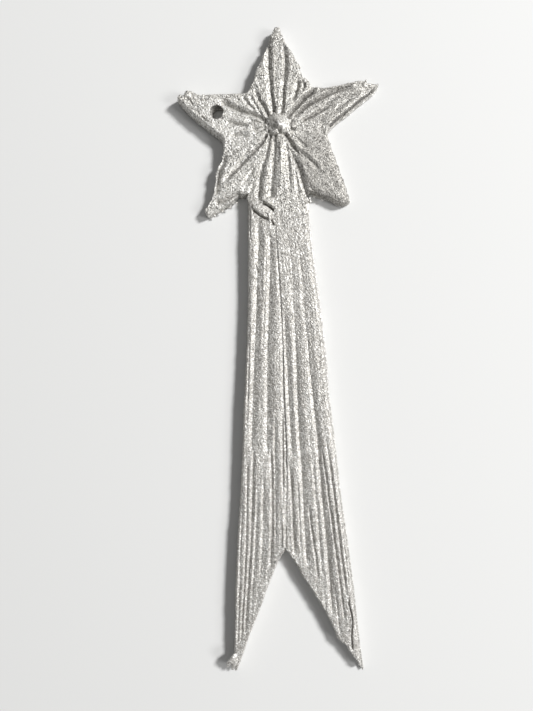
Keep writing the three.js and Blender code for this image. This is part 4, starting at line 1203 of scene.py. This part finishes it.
def fibre_tree():
    """Geometry nodes: short bent paper fibres stuck all over a surface."""
    group = GeometryGroup("paper_fibres", {
        "Length": 0.0006,
        "Thickness": 0.00013,
        "Per Square Metre": 0.9e6,
        "Seed": 1,
    })
    given, times = group.given, group.times
    length = given["Length"]
    half = times(length, 0.5)
    radius = times(given["Thickness"], 0.5)
    section = group.out("GeometryNodeCurvePrimitiveCircle", {"Resolution": 4, "Radius": radius})
    shapes = group.node("GeometryNodeJoinGeometry")
    for bend in (0.06, 0.34, -0.22):
        start = {"X": times(half, -1.0)}
        middle = {"Y": times(length, bend), "Z": times(length, 0.08)}
        end = {"X": half, "Y": times(length, bend * 0.4)}
        ends = {"Start": start, "Middle": middle, "End": end}
        places = {name: group.out("ShaderNodeCombineXYZ", place) for name, place in ends.items()}
        curve = group.out("GeometryNodeCurveQuadraticBezier", {"Resolution": 4, **places})
        tube = group.out("GeometryNodeCurveToMesh",
                         {"Curve": curve, "Profile Curve": section, "Fill Caps": True})
        group.tree.links.new(group.out("GeometryNodeGeometryToInstance", {"Geometry": tube}),
                             shapes.inputs[0])
    density = times(given["Per Square Metre"], group.attribute("loose"))
    kind = group.random("INT", 0, 2, given["Seed"])
    size = group.random("FLOAT", 0.5, 1.35, 5)
    picked = {"Pick Instance": True, "Instance Index": kind}
    laid = group.scatter(shapes.outputs[0], density, size, picked)
    turn = group.random("FLOAT_VECTOR", (-0.18, -0.18, 0.0), (0.18, 0.18, 2 * math.pi))
    inputs = {"Instances": laid, "Rotation": turn, "Local Space": True}
    return group.end_painted(group.out("GeometryNodeRotateInstances", inputs))


def crumb_tree():
    """Geometry nodes: crumbs of pulp along the free edges of a piece."""
    group = GeometryGroup("edge_crumbs", {"Size": 0.00019, "Per Square Metre": 4.5e6, "Seed": 1})
    given, times = group.given, group.times
    near_edge = group.remap(group.attribute("rim"), 0.35, 1.0)
    place = group.out("GeometryNodeInputPosition")
    ragged = group.remap(group.noise(place, 0.003, group.add(given["Seed"], 0.5)), 0.42, 0.66)
    density = times(times(given["Per Square Metre"], near_edge), ragged)
    ball = group.out("GeometryNodeMeshIcoSphere", {"Radius": times(given["Size"], 0.5), "Subdivisions": 2})
    size = group.random("FLOAT_VECTOR", (0.5, 0.5, 0.5), (1.5, 1.5, 1.5))
    turn = group.random("FLOAT_VECTOR", (0.0, 0.0, 0.0), (2 * math.pi,) * 3)
    return group.end_painted(group.scatter(ball, density, size, {"Rotation": turn}))


def baked(piece, tree, values, name=None):
    """The plain mesh that a geometry tree makes from a piece. With a name it is a new piece."""
    modifier = piece.modifiers.new(tree.name, "NODES")
    modifier.node_group = tree
    for item in tree.interface.items_tree:
        if item.item_type == "SOCKET" and item.in_out == "INPUT" and item.name in values:
            modifier[item.identifier] = values[item.name]
    evaluated = piece.evaluated_get(bpy.context.evaluated_depsgraph_get())
    mesh = bpy.data.meshes.new_from_object(evaluated)
    piece.modifiers.remove(modifier)
    mesh.polygons.foreach_set("use_smooth", np.ones(len(mesh.polygons), bool))
    if name is None:
        piece.data = mesh
        return piece
    mesh.name = name
    return placed(name, mesh)


# Finishes

def grain_group():
    """Shader group: height, patches, specks and pits of painted paper."""
    outputs = dict.fromkeys(("Height", "Patch", "Speck", "Pit"), "NodeSocketFloat")
    sizes = {"Fine Size": 0.00022, "Patch Size": 0.0016, "Seed": 0.0}
    group = Group("paper_grain", "ShaderNodeTree", sizes, outputs)
    fine_size, patch_size, seed = (group.given[name] for name in sizes)
    place = group.node("ShaderNodeTexCoord").outputs["Object"]
    fine = group.noise(place, fine_size, seed, detail=3.0, rough=0.6)
    patch = group.noise(place, patch_size, group.add(seed, 2.0), detail=3.0, rough=0.6)
    # Specks lighten the paint and pits darken it; the pits also dent the bump height, so their darkness is
    # partly painted shade, and the specks are partly painted glints.
    speck = group.noise(place, group.times(fine_size, 1.4), group.add(seed, 6.0), detail=1.0)
    pit = group.noise(place, group.times(fine_size, 1.3), group.add(seed, 11.0), detail=1.0)
    pit = group.remap(pit, 0.46, 0.37)
    height = group.less(fine, group.times(pit, 0.35))
    return group.end(Height=height, Pit=pit, Patch=group.remap(patch, 0.3, 0.7),
                     Speck=group.remap(speck, 0.46, 0.62))


def silver_group():
    """Shader group: silver paint over paper, with painted shade in the grooves. Its tone input darkens the
    paint above zero and lightens it below, partly as painted light and shade.
    """
    group = Group("silver_paint", "ShaderNodeTree", {
        "Silver": (0.43, 0.417, 0.395, 1),
        "Bright Silver": (0.95, 0.94, 0.91, 1),
        "Dull Silver": (0.13, 0.122, 0.111, 1),
        "Patch": 0.5,
        "Speck": 0.5,
        "Fleck": 0.0,
        "Grit": 0.5,
        "Pit": 0.0,
        "Groove": 0.0,
        "Tone_And_Painted_Light": 0.0,
        "Bright Specks": 0.6,
        "Dark Specks": 0.6,
        "Pits": 0.3,
        "Groove Shade": 0.3,
    }, {"Color": "NodeSocketColor", "Roughness": "NodeSocketFloat", "Metallic": "NodeSocketFloat"})
    given, add, times, less, remap = group.given, group.add, group.times, group.less, group.remap

    def by_tone(full, to_low, to_high):
        """From one value where the tone is zero to another where it reaches full, above zero for darker and
        below zero for lighter.
        """
        return remap(given["Tone_And_Painted_Light"], 0.0, full, to_low, to_high, False)

    def mixed(share, first, second):
        return group.node("ShaderNodeMix", {0: share, 6: first, 7: second}, data_type="RGBA").outputs[2]

    # Bright specks, added to on the nap's crests and the grit's tops, are partly the paint's own and partly
    # painted glints.
    light = times(given["Speck"], given["Bright Specks"])
    light = add(light, times(given["Fleck"], 0.45), clamp=True)
    light = times(light, remap(given["Grit"], 0.35, 0.6, 0.5, 1.1), clamp=True)
    light = times(light, by_tone(1.0, 1.0, 0.35))
    light = times(light, by_tone(-1.5, 1.0, 1.6))
    light = add(light, by_tone(-1.5, 0.0, 0.15), clamp=True)
    # Painted shade: the grooves keep few bright specks and darken by the Groove Shade share.
    speckled = remap(given["Groove"], 0.3, 1.2, 1.0, 0.3)
    light = times(light, speckled)
    pits = times(times(given["Pit"], given["Pits"]), times(speckled, by_tone(1.0, 1.0, 0.4)))
    light = times(light, less(1.0, times(pits, 0.9)))
    # Dark specks sit in the grit's hollows and the pits, partly as painted shade.
    dark = times(remap(given["Grit"], 0.5, 0.3), given["Dark Specks"])
    dark = group.calc("MAXIMUM", dark, pits)
    dark = add(dark, times(given["Groove"], given["Groove Shade"]), clamp=True)
    dark = add(dark, by_tone(2.0, 0.0, 0.6))
    dark = add(dark, by_tone(-1.5, 0.0, -0.21), clamp=True)
    dark = add(dark, times(less(0.5, given["Patch"]), 0.2), clamp=True)
    colour = mixed(light, mixed(dark, given["Silver"], given["Dull Silver"]), given["Bright Silver"])
    roughness = remap(given["Patch"], 0.0, 1.0, 0.54, 0.44, False)
    return group.end(Color=colour, Roughness=roughness, Metallic=less(0.62, times(dark, 0.3)))


grain = grain_group()
silver = silver_group()


def silver_finish(name, seed, fine_size, patch_size, bump, tints=None):
    material = bpy.data.materials.new(name)
    material.use_nodes = True
    tree = Tree(material.node_tree)
    sizes = {"Fine Size": fine_size, "Patch Size": patch_size, "Seed": seed}
    surface = tree.node("ShaderNodeGroup", sizes, node_tree=grain).outputs
    inputs = {label: surface[label] for label in ("Patch", "Speck", "Pit")} | (tints or {})
    for label in ("Fleck", "Grit", "Groove", "Tone_And_Painted_Light"):
        inputs[label] = tree.node("ShaderNodeAttribute", attribute_name=label.lower()).outputs["Fac"]
    paint = tree.node("ShaderNodeGroup", inputs, node_tree=silver).outputs
    bumps = tree.out("ShaderNodeBump", {"Height": surface["Height"], "Strength": bump, "Distance": 0.00013})
    shader = tree.tree.nodes["Principled BSDF"].inputs
    tree.tree.links.new(paint["Color"], shader["Base Color"])
    tree.tree.links.new(paint["Roughness"], shader["Roughness"])
    tree.tree.links.new(paint["Metallic"], shader["Metallic"])
    tree.tree.links.new(bumps, shader["Normal"])
    return material


star_silver = silver_finish("star_silver", 1.0, 0.00023, 0.0016, 1.1, {
    "Silver": (0.616, 0.594, 0.548, 1),
    "Bright Specks": 0.7,
    "Dark Specks": 0.8,
    "Pits": 1.0,
    "Groove Shade": 0.55,
})
streamer_silver = silver_finish("streamer_silver", 4.0, 0.00022, 0.002, 1.0, {
    "Silver": (0.5, 0.478, 0.442, 1),
    "Bright Specks": 0.74,
    "Dark Specks": 0.76,
})
fibre_silver = silver_finish("fibre_silver", 7.0, 0.00025, 0.002, 0.4)
card_silver = silver_finish("card_silver", 9.0, 0.0003, 0.004, 0.35)


# Making the pieces

skin = skin_tree()
fibres = fibre_tree()
crumbs = crumb_tree()
PULP, CARD = 0, 1  # the star's layers, in the order of their reaches in STAR_SIDES
CARD_WALLS = (0.06, 0.15)

# Heights at which the edges are traced, and the undersides of the pieces that lie on others, mm
CARD_EDGE = 0.4
CARD_NOTCH = 0.9
PULP_EDGE = 1.7
PULP_NOTCH = 2.0
MOUND_EDGE = 3.2
NECK_FLOOR = 1.3
BOSS_FLOOR = 2.2
FLAKE_FLOOR = 2.1

CRISP = 0.3  # roughness of a crisp edge as a share of that of the others


def star_outline(layer, rough, seed):
    """The star's edge for the pulp or for the card, whose slot takes the tail card's tongue."""
    runs = []
    for side, points in STAR_RUNS:
        height, *outs = STAR_SIDES[side]
        if side == "slot" and layer == CARD:
            runs.append((np.array(SLOT), 0.0, 0.0, True))
        else:
            nubs = rough * (CRISP if side == "crisp" else 1)
            runs.append((traced(points, height), outs[layer], nubs, side != "slot"))
    return torn(seed, *runs)


def card_height(x, y, rim):
    dents = 0.012 * lumps(x, y, 2.0, 71)
    return CARD_TOP - 0.012 + dents - 0.09 * np.clip(1 - rim / 0.14, 0, 1) ** 2, np.zeros(x.shape)


def hole_at(height):
    down = 1 - height / HOLE_TOP
    centre = np.array(HOLE_PLACE) + np.array(HOLE_LEAN) * down
    return circle(centre, HOLE_RADIUS - HOLE_TAPER * down, 96)


star_card = slab("star_card", star_outline(CARD, 0.1, 43), card_height, 0.0, wall_rows=CARD_WALLS,
                 spacing=0.25, holes=[(hole_at(CARD_TOP), hole_at(0.0))], hole_steps=4, seed=2)
star_face = slab("star_face", star_outline(PULP, 0.17, 41), star_height, CARD_TOP, tone_and_painted_light=star_tone,
                 holes=[(hole_at(HOLE_TOP), hole_at(CARD_TOP))], seed=3)

tail_card_outline = torn(
    47,
    (traced(TAIL_LEFT[1:], CARD_EDGE), -0.1, 0.07, True),
    (traced(NOTCH_LEFT[::-1][:-1], CARD_NOTCH), -0.15, 0.07, True),
    (traced(NOTCH_RIGHT, CARD_NOTCH), -0.15, 0.07, True),
    (traced(TAIL_RIGHT[::-1][:-1], CARD_EDGE), 0.02, 0.07, True),
    (np.array(TONGUE), 0.0, 0.0, True),
)
tail_card = slab("tail_card", tail_card_outline, card_height, 0.0, wall_rows=CARD_WALLS, spacing=0.25,
                 seed=4)

# The gap in the seam gets narrower towards the notch.
seam_gap = np.zeros(seam_line.shape)
seam_gap[:, 0] = SEAM_GAP * (1 - 0.85 * smooth((-seam_line[:, 1] - 78.0) / 12.0))
left_outline = torn(
    51,
    (traced(TAIL_LEFT, PULP_EDGE), 0.0, 0.13, True),
    (traced(NOTCH_LEFT[::-1], PULP_NOTCH), 0.0, 0.15, True),
    ((seam_line - seam_gap / 2)[::-1][1:], 0.0, 0.0, False),
)
right_outline = torn(
    57,
    (traced(TAIL_RIGHT[::-1], PULP_EDGE), -0.3, 0.14, True),
    ((seam_line + seam_gap / 2)[:-1], 0.0, 0.0, False),
    (traced(NOTCH_RIGHT, PULP_NOTCH), 0.0, 0.16, True),
)
left_streamer = slab("left_streamer_pulp", left_outline, left_height, CARD_TOP, tone_and_painted_light=tail_painted_sheen, seed=5)
right_streamer = slab("right_streamer_pulp", right_outline, right_height, CARD_TOP, tone_and_painted_light=tail_painted_sheen,
                      seed=7)

neck_outline = torn(
    61,
    (traced(NECK_LEFT, NECK_EYE_HEIGHT), 0.0, 0.05, False),
    (traced(NECK_LIP[1:], NECK_EYE_HEIGHT), 0.0, 0.22, True),
    (traced([*NECK_LIP_END, *NECK_MELT], NECK_EYE_HEIGHT), 0.0, 0.1, False),
    (traced(NECK_RIGHT[::-1], NECK_EYE_HEIGHT), 0.0, 0.12, True),
)
neck = slab("neck_pleats", neck_outline, neck_height, NECK_FLOOR, tone_and_painted_light=neck_tone, seed=9)

boss_outline = torn(67, (traced(BOSS_OUTLINE, MOUND_EDGE), 0.0, 0.12, True))
boss = slab("boss_pulp", boss_outline, boss_height, BOSS_FLOOR, wall_rows=(0.08, 0.16),
            tone_and_painted_light=boss_painted_light, seed=11)

flake_outline = torn(83, (traced(FLAKE_OUTLINE, MOUND_EDGE), 0.0, 0.12, True))
flake = slab("curl_flake", flake_outline, flake_height, FLAKE_FLOOR, wall_rows=(0.06, 0.13, 0.2),
             spacing=0.1, tone_and_painted_light=flake_tone, seed=13)
flake_sliver = strand("curl_sliver", [
    (*seen(268.6, 212.6, 3.5), 3.55, 0.14, 0.12, 0),
    (*seen(269, 215.4, 3.4), 3.5, 0.26, 0.16, 10),
    (*seen(269.4, 218.6, 3.2), 3.3, 0.24, 0.14, 10),
    (*seen(270, 222.4, 3.0), 3.0, 0.1, 0.08, 0),
], 12)

# Shreds of pulp at the left tip: along each, pixel, height and half width in mm
SHREDS = [
    [(237.4, 653, 2.2, 0.45), (234.2, 657.4, 2.8, 0.72), (230.6, 662, 2.9, 0.68), (227.4, 664.4, 2.5, 0.34)],
    [(237.6, 655, 2.1, 0.45), (235.6, 660, 2.6, 0.66), (233.8, 665, 2.6, 0.6), (232.6, 669.4, 2.1, 0.3)],
    [(239, 656, 2.0, 0.4), (237.8, 661.6, 2.3, 0.52), (236.6, 666.4, 2.2, 0.44), (236.2, 670.2, 1.7, 0.24)],
    [(235.4, 656, 2.0, 0.36), (232.4, 660.4, 2.4, 0.5), (229.6, 664, 2.3, 0.42), (227, 667, 1.9, 0.2)],
]
shreds = []
for k, path in enumerate(SHREDS, 1):
    spine = [(*seen(px, py, z), z, width, 0.42 * width, -12) for px, py, z, width in path]
    shreds.append(strand(f"tip_shred_{k}", spine, 10, steps=10))

# Loose crumbs of pulp at the torn edges: pixel, height of the middle and half width in mm
EDGE_CRUMBS = [
    (309.8, 201.6, 2.1, 0.46), (309.8, 198.8, 1.9, 0.34), (304.8, 79.4, 1.9, 0.34),
    (307.6, 82.2, 1.7, 0.38), (309.4, 85.8, 1.6, 0.36), (310.6, 88.2, 1.3, 0.28), (300, 67.4, 2.0, 0.26),
    (366, 80.8, 1.7, 0.28), (306.4, 194, 1.2, 0.3), (314, 196.6, 1.1, 0.28), (322, 200, 1.0, 0.26),
    (236.6, 203, 1.5, 0.3), (229.6, 207.4, 1.4, 0.34), (222.4, 211.2, 1.3, 0.3), (214.8, 215.8, 1.1, 0.28),
]
draws = np.random.default_rng(29)
edge_crumbs = []
for k, (px, py, z, size) in enumerate(EDGE_CRUMBS, 1):
    x, y = seen(px, py, z)
    turn = draws.uniform(0, math.pi)
    dx, dy = 0.9 * size * math.cos(turn), 0.9 * size * math.sin(turn)
    spine = [
        (x - dx, y - dy, z - 0.2, 0.4 * size, 0.4 * size, 0),
        (x, y, z, size, 0.8 * size, 30),
        (x + dx, y + dy, z - 0.1, 0.5 * size, 0.4 * size, 60),
    ]
    edge_crumbs.append(strand(f"edge_crumb_{k}", spine, 12))

# Each piece with its paint, slot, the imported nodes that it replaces, and how high its skin is pushed out
PIECES = [
    (star_card, card_silver, "painted_card", ["star_backing"], 0.35),
    (tail_card, card_silver, "painted_card", ["tail_backing"], 0.35),
    (star_face, star_silver, "star_pulp", ["star_relief"], 1.0),
    (neck, star_silver, "star_pulp", ["neck_fan"], 1.0),
    (boss, star_silver, "star_pulp", ["centre_boss"], 0.75),
    (left_streamer, streamer_silver, "streamer_pulp", ["left_streamer"], 1.0),
    (right_streamer, streamer_silver, "streamer_pulp", ["right_streamer"], 1.0),
    (flake, streamer_silver, "streamer_pulp", ["lip_curl"], 0.9),
    (flake_sliver, streamer_silver, "streamer_pulp", [], 0.5),
    *((shred, streamer_silver, "streamer_pulp", [], 0.5) for shred in shreds),
    *((crumb, star_silver, "star_pulp", [], 1.0) for crumb in edge_crumbs),
]
for number, (piece, finish, slot, nodes, coarse) in enumerate(PIECES, 1):
    heights = {label: value * coarse for label, value in SKIN_SIZES.items() if "Height" in label}
    baked(piece, skin, {**heights, "Seed": float(number), "Paint": finish})
    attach(piece, "root")
    if nodes:
        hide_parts(*nodes)

FACES = [
    (star_face, "star_pulp"),
    (neck, "star_pulp"),
    (left_streamer, "streamer_pulp"),
    (right_streamer, "streamer_pulp"),
]
for number, (carrier, slot) in enumerate(FACES, 1):
    for tree, kind in ((fibres, "fibres"), (crumbs, "crumbs")):
        name = f"{carrier.name.removesuffix('_pulp')}_{kind}"
        scattered = baked(carrier, tree, {"Seed": number, "Paint": fibre_silver}, name)
        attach(scattered, "root")


# Camera, lamps, table

def lamp(name, azimuth, elevation, size, watts):
    """A round lamp that points at the middle of the ornament."""
    data = bpy.data.lights.new(name, "AREA")
    data.shape = "DISK"
    data.size = size
    data.energy = watts
    a, e = math.radians(azimuth), math.radians(elevation)
    way = Vector((math.cos(a) * math.cos(e), math.sin(a) * math.cos(e), math.sin(e)))
    made = placed(name, data)
    made.location = Vector((0, -0.05, 0)) + way * LAMP_DISTANCE
    made.rotation_euler = way.to_track_quat("Z", "Y").to_euler()


SENSOR_WIDTH = 36
lens = bpy.data.cameras.new("camera")
lens.sensor_width = SENSOR_WIDTH
lens.sensor_fit = "AUTO"
lens.lens = SENSOR_WIDTH * EYE_HEIGHT / (FRAME_HEIGHT * PIXEL)
lens.clip_start = 0.001
lens.clip_end = 10
camera = placed("camera", lens)
camera.location = [v * MM for v in EYE]
bpy.context.scene.camera = camera

lamp("key_lamp", KEY_AZIMUTH, KEY_ELEVATION, 0.26, 21.4)
lamp("side_lamp", KEY_AZIMUTH - 42, KEY_ELEVATION - 4, 0.46, 5.6)
world = bpy.data.worlds.new("studio")
world.use_nodes = True
backdrop = world.node_tree.nodes["Background"].inputs
backdrop["Color"].default_value = (1, 1, 1, 1)
backdrop["Strength"].default_value = 0.21
bpy.context.scene.world = world

floor_mesh = bpy.data.meshes.new("table")
corners = [(x, y, -0.0001) for x, y in ((-2, -2), (2, -2), (2, 2), (-2, 2))]
floor_mesh.from_pydata(corners, [], [(0, 1, 2, 3)])
table = placed("table", floor_mesh)
pale = bpy.data.materials.new("pale_table")
pale.use_nodes = True
pale_inputs = pale.node_tree.nodes["Principled BSDF"].inputs
pale_inputs["Base Color"].default_value = (0.78, 0.78, 0.77, 1)
pale_inputs["Roughness"].default_value = 0.9
table.data.materials.append(pale)

bpy.context.scene.view_settings.view_transform = "Standard"
